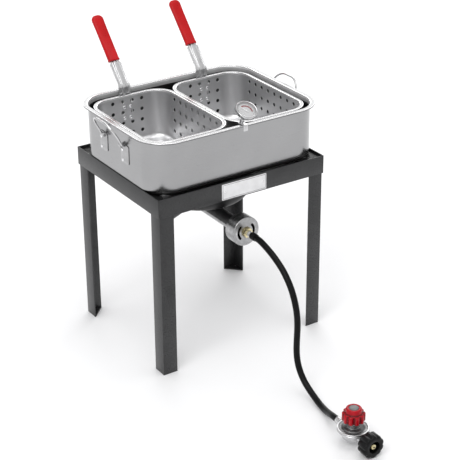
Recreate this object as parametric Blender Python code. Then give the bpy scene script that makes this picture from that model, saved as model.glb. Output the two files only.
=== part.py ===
"""Outdoor double-basket fryer kit: steel stand, gas burner, hose with regulator, pan, two baskets and a thermometer.

Units are metres and +Z is up. The burner inlet and the nameplate face -Y. Every piece hangs under one empty, which
sits on the floor under the stand's centre, so the stand's own centre lines are X = 0 and Y = 0 in the code below.
"""

from math import cos, pi, radians, sin, sqrt

import bmesh
import bpy
import numpy as np
from mathutils import Matrix, Vector

# ---------------------------------------------------------------- driving dimensions
GAP = 0.0003            # clearance between touching pieces
STAND_SHIFT_Y = -0.0345  # puts the base centre of the whole kit, without hose and regulator, at the origin

STAND_W, STAND_D, STAND_H = 0.460, 0.381, 0.4572
STEEL = 0.0025          # sheet of the stand
APRON_H = 0.0457
LEDGE_DROP, LEDGE_W = 0.008, 0.030
LEG_FLANGE = 0.038
FOOT_CLIP = 0.008       # clipped inner corner of a foot plate
FOOT_T = 0.003

PLATE_W, PLATE_H, PLATE_T = 0.1235, 0.0395, 0.0012

PAN_A, PAN_B, PAN_R = 0.2285, 0.1745, 0.063    # half sizes and corner radius of the pan's wall, outside
PAN_TOP, PAN_SHEET = 0.584, 0.0015
PAN_FLANGE, PAN_BEND, PAN_FILLET, PAN_LIP = 0.012, 0.005, 0.012, 0.0035

BASKET_X = 0.1099       # basket centre, left and right of X = 0
BASKET_Y = 0.001
BASKET_A, BASKET_B, BASKET_R = 0.1003, 0.1490, 0.046
BASKET_TOP, BASKET_SHEET = 0.576, 0.0012
BASKET_FLANGE, BASKET_BEND, BASKET_FILLET, BASKET_LIP = 0.009, 0.004, 0.016, 0.0025
HOLE_R, HOLE_SIDES = 0.0056, 4    # square holes with the area of round ones of radius 0.0045
HOLE_TOP, HOLE_ROWS, HOLE_PITCH_Z = 0.0145, 4, 0.0275
HOLE_COLS_X, HOLE_PITCH_X = 4, 0.0267
HOLE_COLS_Y, HOLE_PITCH_Y = 8, 0.0268
FLOOR_PITCH = 0.048

HANDLE_W, HANDLE_SHEET, RIB_H = 0.032, 0.0016, 0.0032
HANDLE_RISE, HANDLE_LEAN, HANDLE_LEN = 0.022, radians(42), 0.191
GRIP_START, GRIP_W, GRIP_T, TONGUE = 0.066, 0.0305, 0.0130, 0.60
RIVET_R, RIVET_HEAD_R, RIVET_HEAD_T = 0.0020, 0.0042, 0.0016
RIVET_U, RIVET_Z, RIVET_SIDES = 0.0085, (0.519, 0.547), 8

BAIL_Y, BAIL_Z, BAIL_OUT = 0.004, 0.540, 0.0062    # hinge line: its middle, height, and distance from the pan's wall
BAIL_LEG, BAIL_H = 0.0490, 0.061
BAIL_WIRE, BAIL_LEAN, BAIL_CORNER, BAIL_FOOT = 0.0026, radians(28), 0.039, 0.003
EYE_R, EYE_BORE, EYE_LEN = 0.0046, 0.0031, 0.012
BRACKET_W, BRACKET_H, BRACKET_T = 0.034, 0.046, 0.0015
BRACKET_RIVETS, BRACKET_RIVET_Y = (0.5280, 0.5025), 0.0100

GUARD_R, GUARD_Z0, GUARD_Z1, GUARD_FILLET, GUARD_T, GUARD_HOLE = 0.123, 0.345, 0.425, 0.030, 0.0015, 0.030
TUBE_Z, TUBE_R, TUBE_BORE = 0.322, 0.0175, 0.0140
MOUTH_Y, MOUTH_R = -0.1660, 0.0270
HEAD_R, HEAD_Z0, HEAD_Z1, HEAD_WALL = 0.057, 0.360, 0.384, 0.006
PORT_RING_R, PORTS = 0.042, 16
CUP_R, CUP_Y, CUP_T = 0.0362, -0.1993, 0.0014
SLOT_R, SLOT_W, SLOT_HALF = 0.0215, 0.0045, radians(38)

REG_X, REG_Y, REG_Z = -0.026, -0.653, 0.0275   # regulator centre, on the axis of its two ports
FLANGE_R, FLANGE_TOP = 0.036, 0.0400
KNOB_R, KNOB_LOBE, KNOB_LOBES = 0.0258, 0.0042, 10
NUT_R, NUT_LOBES = 0.0272, 10
HOSE_R = 0.0075

STEM_X, STEM_Y, STEM_Z = 0.0065, -0.167, 0.580  # where the thermometer's stem passes the pan's rim
STEM_TILT = radians(29.3)
STEM_R, DIAL_R, DIAL_UP, STEM_DOWN = 0.0020, 0.026, 0.052, 0.128

HOSE_ROUTE = (
    (0.000, -0.2411, 0.3220),
    (0.000, -0.2450, 0.3220),
    (0.000, -0.2590, 0.3206),
    (0.000, -0.2780, 0.3158),
    (0.000, -0.3045, 0.3068),
    (0.000, -0.3284, 0.2958),
    (0.000, -0.3483, 0.2838),
    (0.000, -0.3642, 0.2702),
    (0.000, -0.3775, 0.2556),
    (0.000, -0.3880, 0.2396),
    (0.000, -0.3963, 0.2225),
    (0.000, -0.4024, 0.2045),
    (0.000, -0.4060, 0.1860),
    (0.000, -0.4073, 0.1657),
    (0.000, -0.4067, 0.1439),
    (0.000, -0.4057, 0.1220),
    (0.000, -0.4058, 0.1010),
    (0.000, -0.4085, 0.0812),
    (0.000, -0.4149, 0.0630),
    (0.000, -0.4258, 0.0468),
    (0.000, -0.4410, 0.0326),
    (0.000, -0.4600, 0.0212),
    (-0.001, -0.4820, 0.0128),
    (-0.004, -0.5050, 0.0086),
    (-0.008, -0.5270, 0.0092),
    (-0.0135, -0.5470, 0.0140),
    (-0.0190, -0.5640, 0.0200),
    (-0.0240, -0.5800, 0.0255),
    (-0.0260, -0.5935, 0.0275),
    (-0.0260, -0.5969, 0.0275),
)
HOSE_POINTS = 30

# ---------------------------------------------------------------- helpers
for old in list(bpy.data.objects):
    bpy.data.objects.remove(old, do_unlink=True)

SCENE = bpy.context.scene.collection
ORIGIN = bpy.data.objects.new("kit_origin", None)
ORIGIN.location = (0, STAND_SHIFT_Y, 0)
SCENE.objects.link(ORIGIN)


def material(name, colour, roughness, metallic):
    made = bpy.data.materials.new(name)
    made.use_nodes = True
    shader = made.node_tree.nodes["Principled BSDF"]
    shader.inputs["Base Color"].default_value = (*colour, 1)
    shader.inputs["Roughness"].default_value = roughness
    shader.inputs["Metallic"].default_value = metallic
    return made


LOOKS = {
    "black_paint": material("black_paint", (0.035, 0.036, 0.038), 0.5, 0),
    "cast_iron": material("cast_iron", (0.05, 0.05, 0.052), 0.7, 1),
    "aluminium": material("aluminium", (0.72, 0.72, 0.73), 0.35, 1),
    "steel": material("steel", (0.75, 0.75, 0.76), 0.25, 1),
    "chrome": material("chrome", (0.85, 0.85, 0.86), 0.1, 1),
    "brass": material("brass", (0.75, 0.58, 0.25), 0.3, 1),
    "red_vinyl": material("red_vinyl", (0.62, 0.02, 0.03), 0.35, 0),
    "red_plastic": material("red_plastic", (0.65, 0.02, 0.05), 0.2, 0),
    "black_plastic": material("black_plastic", (0.02, 0.02, 0.02), 0.35, 0),
    "rubber": material("rubber", (0.025, 0.025, 0.026), 0.55, 0),
    "plate": material("plate", (0.8, 0.8, 0.8), 0.35, 0.3),
    "dial": material("dial", (0.8, 0.8, 0.8), 0.5, 0),
    "glass": material("glass", (0.9, 0.95, 0.95), 0.05, 0),
}


def place(obj, look, parent, smooth=True):
    """Gives an object its material, parent and shading."""
    obj.data.materials.append(LOOKS[look])
    obj.parent = parent or ORIGIN
    if smooth and obj.type == "MESH":
        obj.data.shade_smooth()
        obj.data.set_sharp_from_angle(angle=radians(35))
    return obj


def from_bmesh(name, bm):
    """A linked object from a bmesh, with its faces turned outwards."""
    bmesh.ops.recalc_face_normals(bm, faces=bm.faces)
    mesh = bpy.data.meshes.new(name)
    bm.to_mesh(mesh)
    bm.free()
    obj = bpy.data.objects.new(name, mesh)
    SCENE.objects.link(obj)
    return obj


def loft(name, rings, closed=False):
    """A solid from rings of equal length. The end rings are capped unless the last joins the first."""
    bm = bmesh.new()
    loops = [[bm.verts.new(point) for point in ring] for ring in rings]
    pairs = list(zip(loops, loops[1:] + loops[:1])) if closed else list(zip(loops, loops[1:]))
    count = len(loops[0])
    for low, high in pairs:
        for i in range(count):
            j = (i + 1) % count
            bm.faces.new((low[i], low[j], high[j], high[i]))
    if not closed:
        bm.faces.new(loops[0][::-1])
        bm.faces.new(loops[-1])
    return from_bmesh(name, bm)


def circle_points(radius, count, z, start=0.0):
    turn = 2 * pi / count
    return [(radius * cos(start + turn * i), radius * sin(start + turn * i), z) for i in range(count)]


def turned(name, profile, sides=32, closed=False):
    """A body turned about Z from (radius, z) points. An open profile is capped flat at both ends."""
    return loft(name, [circle_points(radius, sides, z) for radius, z in profile], closed)


def aim(obj, origin, direction):
    """Puts an object's own Z along a direction, with its origin at a point."""
    turn = Vector((0, 0, 1)).rotation_difference(Vector(direction))
    obj.matrix_local = Matrix.Translation(origin) @ turn.to_matrix().to_4x4()
    return obj


def prism(name, outline, low, high):
    """An outline in X and Y, extruded from low to high in Z."""
    return loft(name, [[(x, y, low) for x, y in outline], [(x, y, high) for x, y in outline]])


def arc(cx, cy, radius, start, end, steps):
    """Points of an arc, with angles in degrees."""
    angles = np.radians(np.linspace(start, end, steps + 1))
    return [(cx + radius * cos(a), cy + radius * sin(a)) for a in angles]


def rounded_ring(a, b, r, z, cx=0.0, cy=0.0, steps=4):
    """A rounded rectangle with half sizes a and b."""
    corners = ((1, 1, 0), (-1, 1, 90), (-1, -1, 180), (1, -1, 270))
    ring = []
    for sx, sy, start in corners:
        ring += arc(cx + sx * (a - r), cy + sy * (b - r), r, start, start + 90, steps)
    return [(x, y, z) for x, y in ring]


def helper(obj):
    """Marks an object as a cutter or a joining piece, which isn't part of the model."""
    obj.hide_render = True
    obj.display_type = "WIRE"
    obj.parent = obj.parent or ORIGIN
    return obj


def boolean(obj, other, operation):
    step = obj.modifiers.new(operation.lower(), "BOOLEAN")
    step.operation = operation
    step.solver = "EXACT"
    step.object = helper(other)
    return obj


def cut(obj, other):
    return boolean(obj, other, "DIFFERENCE")


def join(obj, other):
    return boolean(obj, other, "UNION")


def empty(name, location, parent=None):
    made = bpy.data.objects.new(name, None)
    made.location = location
    made.parent = parent or ORIGIN
    SCENE.objects.link(made)
    return made


def hexagon(across_flats, start=0.0):
    return [(x, y) for x, y, _ in circle_points(across_flats / sqrt(3), 6, 0, start)]


def many_cylinders(name, spots, radius, sides, reach):
    """One cutter mesh of separate rods. Each spot is (centre, axis)."""
    bm = bmesh.new()
    for centre, axis in spots:
        turn = Vector((0, 0, 1)).rotation_difference(Vector(axis)).to_matrix().to_4x4()
        bmesh.ops.create_cone(
            bm,
            cap_ends=True,
            segments=sides,
            radius1=radius,
            radius2=radius,
            depth=2 * reach,
            matrix=Matrix.Translation(centre) @ turn,
        )
    return from_bmesh(name, bm)


# ---------------------------------------------------------------- stand
def rail(name, length, angle, reach):
    """An angle rail with a recessed ledge and mitred ends, turned about Z and set out from the centre."""
    ledge_z = STAND_H - LEDGE_DROP
    section = (
        (0, STAND_H - APRON_H),
        (0, STAND_H),
        (STEEL, STAND_H),
        (STEEL, ledge_z),
        (LEDGE_W, ledge_z),
        (LEDGE_W, ledge_z - STEEL),
        (STEEL, ledge_z - STEEL),
        (STEEL, STAND_H - APRON_H),
    )
    half = length / 2 - GAP
    left = [(-half + inset, -reach + inset, z) for inset, z in section]
    right = [(half - inset, -reach + inset, z) for inset, z in section]
    obj = place(loft(name, [left, right]), "black_paint", None, smooth=False)
    obj.rotation_euler = (0, 0, angle)
    return obj


def build_rails():
    rail("rail_front", STAND_W, 0, STAND_D / 2)
    rail("rail_right", STAND_D, pi / 2, STAND_W / 2)
    rail("rail_back", STAND_W, pi, STAND_D / 2)
    rail("rail_left", STAND_D, -pi / 2, STAND_W / 2)


def corner_outline(points, sx, sy):
    """Points given inwards from a stand corner, moved to that corner."""
    return [(sx * (STAND_W / 2 - u), sy * (STAND_D / 2 - v)) for u, v in points]


def build_legs():
    outer = STEEL + GAP
    inner = outer + STEEL
    end = outer + LEG_FLANGE
    angle = ((outer, outer), (end, outer), (end, inner), (inner, inner), (inner, end), (outer, end))
    seat = inner + GAP
    foot = ((seat + FOOT_CLIP, seat), (end, seat), (seat, end), (seat, seat + FOOT_CLIP))
    top = STAND_H - LEDGE_DROP - STEEL - GAP
    for depth, sy in (("front", -1), ("back", 1)):
        for side, sx in (("left", -1), ("right", 1)):
            leg = prism(f"leg_{depth}_{side}", corner_outline(angle, sx, sy), 0, top)
            place(leg, "black_paint", None, smooth=False)
            plate = prism(f"foot_plate_{depth}_{side}", corner_outline(foot, sx, sy), 0, FOOT_T)
            place(plate, "black_paint", None, smooth=False)


def build_arm(name, sx, sy):
    """A flat bar on edge, from a leg's inner corner to the wind guard. The points are (distance from centre, z)."""
    corner = Vector((sx * (STAND_W / 2 - 2 * STEEL), sy * (STAND_D / 2 - 2 * STEEL)))
    along = corner.normalized()
    across = Vector((-along.y, along.x)) * 0.0015
    reach = corner.length - 0.009
    turn_r = GUARD_FILLET + GAP
    centre_r, centre_z = GUARD_R - GUARD_FILLET, GUARD_Z0 + GUARD_FILLET
    side = arc(centre_r, centre_z, turn_r, -55, 0, 4)
    outline = side + [(GUARD_R + GAP, 0.378), (reach, 0.408), (reach, 0.386)]
    rings = []
    for sign in (-1, 1):
        offset = across * sign
        rings.append([(along.x * s + offset.x, along.y * s + offset.y, z) for s, z in outline])
    place(loft(name, rings), "black_paint", None, smooth=False)


def build_nameplate():
    outline = rounded_ring(PLATE_W / 2, PLATE_H / 2, 0.002, 0, steps=3)
    y = -STAND_D / 2 - GAP
    z = STAND_H - APRON_H / 2
    rings = [[(u, y - depth, z + v) for u, v, _ in outline] for depth in (0, PLATE_T)]
    place(loft("nameplate", rings), "plate", None, smooth=False)


# ---------------------------------------------------------------- burner
def build_wind_guard():
    outer = arc(GUARD_R - GUARD_FILLET, GUARD_Z0 + GUARD_FILLET, GUARD_FILLET, -90, 0, 4)
    inner = arc(GUARD_R - GUARD_FILLET, GUARD_Z0 + GUARD_FILLET, GUARD_FILLET - GUARD_T, 0, -90, 4)
    profile = [(GUARD_HOLE, GUARD_Z0)] + outer + [(GUARD_R, GUARD_Z1), (GUARD_R - GUARD_T, GUARD_Z1)]
    profile += inner + [(GUARD_HOLE, GUARD_Z0 + GUARD_T)]
    place(turned("wind_guard", profile, 36, closed=True), "black_paint", None)


def build_casting():
    """The cast burner: a pot-shaped head on a neck, and a mixing tube that runs forward under the guard."""
    shoulder = GUARD_Z0 + GUARD_T + GAP
    profile = (
        (0.012, TUBE_Z - TUBE_R),
        (0.0225, TUBE_Z - 0.008),
        (0.0235, TUBE_Z + 0.010),
        (0.0240, shoulder - 0.0001),
        (0.0360, shoulder),
        (0.0380, HEAD_Z0 - 0.004),
        (HEAD_R, HEAD_Z0 + 0.004),
        (HEAD_R, HEAD_Z1),
    )
    body = turned("burner_casting", profile, 28)
    tube_profile = (
        (TUBE_R, 0.0),
        (TUBE_R, -MOUTH_Y - 0.030),
        (TUBE_R + 0.003, -MOUTH_Y - 0.014),
        (MOUTH_R, -MOUTH_Y - 0.005),
        (MOUTH_R, -MOUTH_Y),
    )
    tube = aim(turned("tool_mixing_tube", tube_profile, 20), (0, 0, TUBE_Z), (0, -1, 0))
    join(body, tube)
    bore_profile = (
        (TUBE_BORE, -0.002),
        (TUBE_BORE, -MOUTH_Y - 0.028),
        (TUBE_BORE + 0.003, -MOUTH_Y - 0.014),
        (MOUTH_R - 0.004, -MOUTH_Y - 0.003),
        (MOUTH_R - 0.004, -MOUTH_Y + 0.010),
    )
    cut(body, aim(turned("tool_tube_bore", bore_profile, 20), (0, 0, TUBE_Z), (0, -1, 0)))
    chamber = (
        (TUBE_BORE, TUBE_Z - 0.002),
        (TUBE_BORE, HEAD_Z0 - 0.002),
        (HEAD_R - HEAD_WALL, HEAD_Z0 + 0.008),
        (HEAD_R - HEAD_WALL, HEAD_Z1 + 0.010),
    )
    cut(body, turned("tool_mixing_chamber", chamber, 20))
    place(body, "cast_iron", None)


def build_burner_cap():
    top = HEAD_Z1 + GAP
    profile = (
        (0.0030, top),
        (HEAD_R, top),
        (HEAD_R, top + 0.0035),
        (HEAD_R - 0.006, top + 0.0070),
        (0.020, top + 0.0085),
        (0.0030, top + 0.0085),
    )
    cap = turned("burner_cap", profile, 28, closed=True)
    spots = [((x, y, top), (0, 0, 1)) for x, y, _ in circle_points(PORT_RING_R, PORTS, 0)]
    cut(cap, many_cylinders("tool_ports", spots, 0.0022, 6, 0.02))
    place(cap, "cast_iron", None)


def build_burner_bolt():
    seat = HEAD_Z1 + 2 * GAP + 0.0085
    head = prism("burner_bolt", hexagon(0.010), seat, seat + 0.004)
    shank = turned("tool_bolt_shank", ((0.0026, seat - 0.020), (0.0026, seat + 0.001)), 16)
    join(head, shank)
    place(head, "steel", None, smooth=False)


def arc_slot(sign):
    """The outline of one curved air slot, in the plane of the shutter."""
    middle = 0 if sign > 0 else 180
    half = np.degrees(SLOT_HALF)
    out = arc(0, 0, SLOT_R + SLOT_W / 2, middle - half, middle + half, 7)
    back = arc(0, 0, SLOT_R - SLOT_W / 2, middle + half, middle - half, 7)
    return out + back


def slot_cutter(name, sign, low, high):
    """A curved slot cutter that runs from low to high in Y."""
    outline = arc_slot(sign)
    return loft(name, [[(x, y, TUBE_Z + z) for x, z in outline] for y in (high, low)])


def build_shutter():
    axle = empty("air_shutter_axis", (0, CUP_Y, TUBE_Z))
    depth = -CUP_Y + MOUTH_Y
    profile = (
        (0.0068, 0),
        (CUP_R - 0.0020, 0),
        (CUP_R - 0.0006, -0.0006),
        (CUP_R, -0.0020),
        (CUP_R, -depth),
        (CUP_R - CUP_T, -depth),
        (CUP_R - CUP_T, -0.0026),
        (CUP_R - 0.0030, -CUP_T),
        (0.0068, -CUP_T),
    )
    cup = turned("air_shutter", profile, 32, closed=True)
    cup.parent = axle
    cup.rotation_euler = (pi / 2, 0, 0)
    for side, sign in (("left", -1), ("right", 1)):
        cut(cup, slot_cutter(f"tool_shutter_slot_{side}", sign, CUP_Y - 0.01, CUP_Y + 0.01))
    place(cup, "steel", axle)


def build_air_plate():
    """The fixed spider across the mixing tube's mouth. The orifice fitting screws into its middle."""
    face = MOUTH_Y - GAP
    plate = aim(turned("air_plate", ((0.0340, 0), (0.0340, 0.003)), 32), (0, face, TUBE_Z), (0, -1, 0))
    for side, sign in (("left", -1), ("right", 1)):
        cut(plate, slot_cutter(f"tool_plate_slot_{side}", sign, face - 0.01, face + 0.01))
    boss = aim(turned("tool_plate_bore", ((0.0062, -0.02), (0.0062, 0.02)), 24), (0, face, TUBE_Z), (0, -1, 0))
    cut(plate, boss)
    place(plate, "steel", None)


def build_gas_fittings():
    """Brass orifice fitting through plate and shutter, the swivel nut on it, and the first hose ferrule."""
    hex_back = CUP_Y - GAP
    hex_front = hex_back - 0.009
    fitting = aim(prism("orifice_fitting", hexagon(0.022), 0, 0.009), (0, hex_back, TUBE_Z), (0, -1, 0))
    shank = ((0.0030, 0), (0.0058, 0.006), (0.0058, 0.050))
    join(fitting, aim(turned("tool_orifice_shank", shank, 24), (0, hex_front + 0.052, TUBE_Z), (0, -1, 0)))
    jet = aim(turned("tool_jet", ((0.0010, -0.03), (0.0010, 0.10)), 12), (0, hex_front + 0.06, TUBE_Z), (0, -1, 0))
    cut(fitting, jet)
    place(fitting, "brass", None, smooth=False)
    nut_back = hex_front - GAP
    nut = aim(prism("swivel_nut", hexagon(0.014, radians(12)), 0, 0.0075), (0, nut_back, TUBE_Z), (0, -1, 0))
    collar = turned("tool_swivel_collar", ((0.0058, 0.005), (0.0058, 0.0132), (0.0050, 0.0140)), 24)
    join(nut, aim(collar, (0, nut_back, TUBE_Z), (0, -1, 0)))
    place(nut, "steel", None, smooth=False)
    start = nut_back - 0.0140 - GAP
    end = HOSE_ROUTE[0][1] + GAP
    ferrule("hose_ferrule_burner", (0, start, TUBE_Z), start - end, "rubber")


def ferrule(name, origin, length, look):
    """A crimped sleeve with a shallow groove, running towards -Y from its origin."""
    r = 0.0088
    middle = length / 2
    profile = ((r - 0.0010, 0), (r, 0.0010), (r, middle - 0.0020), (r - 0.0007, middle), (r, middle + 0.0020))
    profile += ((r, length - 0.0010), (r - 0.0008, length))
    place(aim(turned(name, profile, 20), origin, (0, -1, 0)), look, None)


# ---------------------------------------------------------------- hose and regulator
def smooth_route(points, count):
    """Points evenly spaced along a Catmull-Rom curve through the route."""
    route = np.array(points)
    first = np.vstack([2 * route[0] - route[1], route, 2 * route[-1] - route[-2]])
    dense = []
    for p0, p1, p2, p3 in zip(first, first[1:], first[2:], first[3:]):
        for t in np.linspace(0, 1, 24, endpoint=False):
            dense.append(0.5 * (2 * p1 + (p2 - p0) * t + (2 * p0 - 5 * p1 + 4 * p2 - p3) * t**2
                                + (3 * p1 - p0 - 3 * p2 + p3) * t**3))
    dense = np.array(dense + [route[-1]])
    along = np.concatenate([[0], np.cumsum(np.linalg.norm(np.diff(dense, axis=0), axis=1))])
    wanted = np.linspace(0, along[-1], count)
    return [tuple(np.interp(s, along, dense[:, axis]) for axis in range(3)) for s in wanted]


def build_hose():
    """The hose, with a short straight stretch at each end so that it meets its ferrules square."""
    curve = bpy.data.curves.new("gas_hose", "CURVE")
    curve.dimensions = "3D"
    curve.bevel_depth = HOSE_R
    curve.bevel_resolution = 4
    curve.use_fill_caps = True
    spline = curve.splines.new("POLY")
    points = [HOSE_ROUTE[0]] + smooth_route(HOSE_ROUTE[1:-1], HOSE_POINTS) + [HOSE_ROUTE[-1]]
    spline.points.add(len(points) - 1)
    for target, point in zip(spline.points, points):
        target.co = (*point, 1)
    hose = bpy.data.objects.new("gas_hose", curve)
    SCENE.objects.link(hose)
    place(hose, "rubber", None)


def reg(x, y, z):
    """A point given from the regulator's centre, with z still from the floor."""
    return (REG_X + x, REG_Y + y, z)


def build_regulator_body():
    bowl = (
        (0.010, 0.0105),
        (0.018, 0.0115),
        (0.0245, 0.0160),
        (0.0265, 0.0300),
        (FLANGE_R - 0.0012, 0.0318),
        (FLANGE_R, 0.0328),
        (FLANGE_R, 0.0358),
    )
    body = turned("regulator_body", bowl, 32)
    body.location = reg(0, 0, 0)
    outlet = turned("tool_outlet_boss", ((0.0085, 0.010), (0.0085, 0.0425)), 20)
    join(body, aim(outlet, reg(0, 0, REG_Z - 0.0045), (0, 1, 0)))
    inlet = turned("tool_inlet_boss", ((0.0095, 0.010), (0.0095, 0.0372)), 20)
    join(body, aim(inlet, reg(0, 0, REG_Z - 0.0045), (0, -1, 0)))
    chamber = turned("tool_gas_chamber", ((0.020, 0.0170), (0.0225, 0.0260), (0.0225, 0.0500)), 24)
    chamber.location = reg(0, 0, 0)
    cut(body, chamber)
    way = turned("tool_gas_way", ((0.0030, -0.060), (0.0030, 0.060)), 16)
    cut(body, aim(way, reg(0, 0, REG_Z - 0.0045), (0, 1, 0)))
    place(body, "aluminium", None)


def build_regulator_top():
    """Diaphragm, bonnet, spring and adjusting screw above the body."""
    diaphragm = turned("regulator_diaphragm", ((0.0330, 0.0361), (0.0330, 0.0365)), 32)
    diaphragm.location = reg(0, 0, 0)
    place(diaphragm, "rubber", None)
    bonnet_profile = (
        (0.0210, 0.0368),
        (FLANGE_R, 0.0368),
        (FLANGE_R, FLANGE_TOP - 0.0010),
        (FLANGE_R - 0.0012, FLANGE_TOP),
        (0.0245, FLANGE_TOP),
        (0.0225, FLANGE_TOP + 0.0018),
        (0.0160, FLANGE_TOP + 0.0024),
        (0.0145, FLANGE_TOP + 0.0060),
        (0.0180, FLANGE_TOP + 0.0150),
        (0.0180, FLANGE_TOP + 0.0172),
        (0.0062, FLANGE_TOP + 0.0172),
        (0.0062, FLANGE_TOP + 0.0145),
        (0.0110, FLANGE_TOP + 0.0145),
        (0.0110, 0.0385),
    )
    bonnet = turned("regulator_bonnet", bonnet_profile, 32, closed=True)
    bonnet.location = reg(0, 0, 0)
    place(bonnet, "aluminium", None)
    turns, coil_r, wire_r = 4, 0.0078, 0.0011
    rings = []
    steps = turns * 10
    for i in range(steps + 1):
        angle = 2 * pi * turns * i / steps
        z = 0.0381 + 0.0122 * i / steps
        out = Vector((cos(angle), sin(angle), 0))
        middle = Vector(reg(0, 0, z)) + out * coil_r
        rings.append([middle + out * x + Vector((0, 0, y)) for x, y, _ in circle_points(wire_r, 5, 0)])
    place(loft("regulator_spring", rings), "steel", None)


def lobed_ring(radius, depth, lobes, count, z):
    """A ring with shallow round scallops cut into it."""
    ring = []
    for i in range(count):
        angle = 2 * pi * i / count
        dip = (0.5 - 0.5 * cos(lobes * angle)) ** 2
        ring.append(((radius - depth * dip) * cos(angle), (radius - depth * dip) * sin(angle), z))
    return ring


def build_knob():
    axle = empty("regulator_knob_axis", reg(0, 0, 0))
    screw_profile = ((0.0088, 0.0516), (0.0088, 0.0540), (0.0056, 0.0541), (0.0056, 0.0650))
    place(turned("adjusting_screw", screw_profile, 24), "steel", axle)
    count = KNOB_LOBES * 6
    low, mid, top = FLANGE_TOP + 0.0178, FLANGE_TOP + 0.0378, FLANGE_TOP + 0.0495
    rings = [
        lobed_ring(KNOB_R - 0.0010, KNOB_LOBE, KNOB_LOBES, count, low),
        lobed_ring(KNOB_R, KNOB_LOBE, KNOB_LOBES, count, low + 0.0010),
        lobed_ring(KNOB_R, KNOB_LOBE, KNOB_LOBES, count, mid - 0.0020),
        lobed_ring(KNOB_R - 0.0020, KNOB_LOBE * 0.7, KNOB_LOBES, count, mid),
        circle_points(0.0180, count, mid + 0.0012),
        circle_points(0.0178, count, top - 0.0020),
        circle_points(0.0125, count, top),
        circle_points(0.0115, count, top - 0.0012),
    ]
    knob = loft("regulator_knob", rings)
    bore = turned("tool_knob_bore", ((0.0060, low - 0.01), (0.0060, 0.0655)), 24)
    bore.parent = axle
    cut(knob, bore)
    place(knob, "red_plastic", axle)
    cap = turned("knob_insert", ((0.0108, top - 0.0009), (0.0108, top - 0.0004), (0.0100, top)), 32)
    place(cap, "steel", axle)


def build_inlet():
    """The brass inlet nipple and the black hand nut that turns on it."""
    face = 0.0375
    nipple_profile = (
        (0.0022, face),
        (0.0062, face),
        (0.0062, face + 0.0120),
        (0.0118, face + 0.0122),
        (0.0118, face + 0.0165),
        (0.0062, face + 0.0175),
        (0.0062, face + 0.0245),
        (0.0080, face + 0.0265),
        (0.0080, face + 0.0310),
        (0.0060, face + 0.0350),
        (0.0022, face + 0.0365),
    )
    nipple = turned("inlet_nipple", nipple_profile, 20, closed=True)
    place(aim(nipple, reg(0, 0, REG_Z), (0, -1, 0)), "brass", None)
    axle = empty("cylinder_nut_axis", reg(0, 0, REG_Z))
    count = NUT_LOBES * 4
    back, front = 0.0400, 0.0755
    rings = [
        circle_points(0.0068, count, back),
        circle_points(0.0165, count, back),
        circle_points(0.0180, count, back + 0.0060),
        lobed_ring(NUT_R - 0.0015, 0.0030, NUT_LOBES, count, back + 0.0085),
        lobed_ring(NUT_R, 0.0026, NUT_LOBES, count, back + 0.0105),
        lobed_ring(NUT_R, 0.0026, NUT_LOBES, count, front - 0.0040),
        lobed_ring(NUT_R - 0.0030, 0.0015, NUT_LOBES, count, front - 0.0006),
        circle_points(0.0200, count, front),
        circle_points(0.0150, count, front),
        circle_points(0.0140, count, front - 0.0012),
        circle_points(0.0140, count, back + 0.0080),
        circle_points(0.0068, count, back + 0.0080),
    ]
    nut = loft("cylinder_nut", rings, closed=True)
    nut.rotation_euler = (pi / 2, pi / NUT_LOBES, 0)
    place(nut, "black_plastic", axle)


# ---------------------------------------------------------------- pan and baskets
def tub_profile(bottom, top, sheet, flange, bend, fillet, lip):
    """(outward offset from the wall, z) points, from the middle of the bottom out and back to the middle."""
    inner_bend = bend - sheet
    profile = arc(-fillet, bottom + fillet, fillet, -90, 0, 3)
    profile += arc(inner_bend, top - sheet - inner_bend, inner_bend, 180, 90, 2)
    profile += [(flange - sheet, top - sheet), (flange - sheet, top - lip), (flange, top - lip)]
    profile += [(flange, top - 0.0008), (flange - 0.0008, top)]
    profile += arc(inner_bend, top - bend, bend, 90, 180, 2)
    return profile + arc(-fillet, bottom + fillet, fillet - sheet, 0, -90, 3)


def tub(name, centre, half_a, half_b, radius, profile):
    """A pressed rectangular vessel with rounded corners."""
    rings = []
    for offset, z in profile:
        ring = rounded_ring(half_a + offset, half_b + offset, radius + offset, z, *centre)
        rings.append(ring)
    return loft(name, rings)


def bracket_rivets(side, end):
    """Where one bail bracket's rivets pass through the pan's wall."""
    y = BAIL_Y + end * BAIL_LEG + BRACKET_RIVET_Y
    return [(side * PAN_A, y, z) for z in BRACKET_RIVETS]


def build_pan(parent):
    bottom = STAND_H - LEDGE_DROP + GAP
    profile = tub_profile(bottom, PAN_TOP, PAN_SHEET, PAN_FLANGE, PAN_BEND, PAN_FILLET, PAN_LIP)
    pan = tub("fry_pan", (0, 0), PAN_A, PAN_B, PAN_R, profile)
    spots = []
    for side in (-1, 1):
        for end in (-1, 1):
            spots += [(spot, (1, 0, 0)) for spot in bracket_rivets(side, end)]
    cutter = many_cylinders("tool_bracket_holes", spots, RIVET_R + GAP, RIVET_SIDES, 0.006)
    cutter.parent = parent
    cut(pan, cutter)
    place(pan, "aluminium", parent)


def bar(name, size, centre):
    half = [side / 2 for side in size]
    outline = [(-half[0], -half[1]), (half[0], -half[1]), (half[0], half[1]), (-half[0], half[1])]
    obj = prism(name, outline, -half[2], half[2])
    obj.location = centre
    return obj


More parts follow.
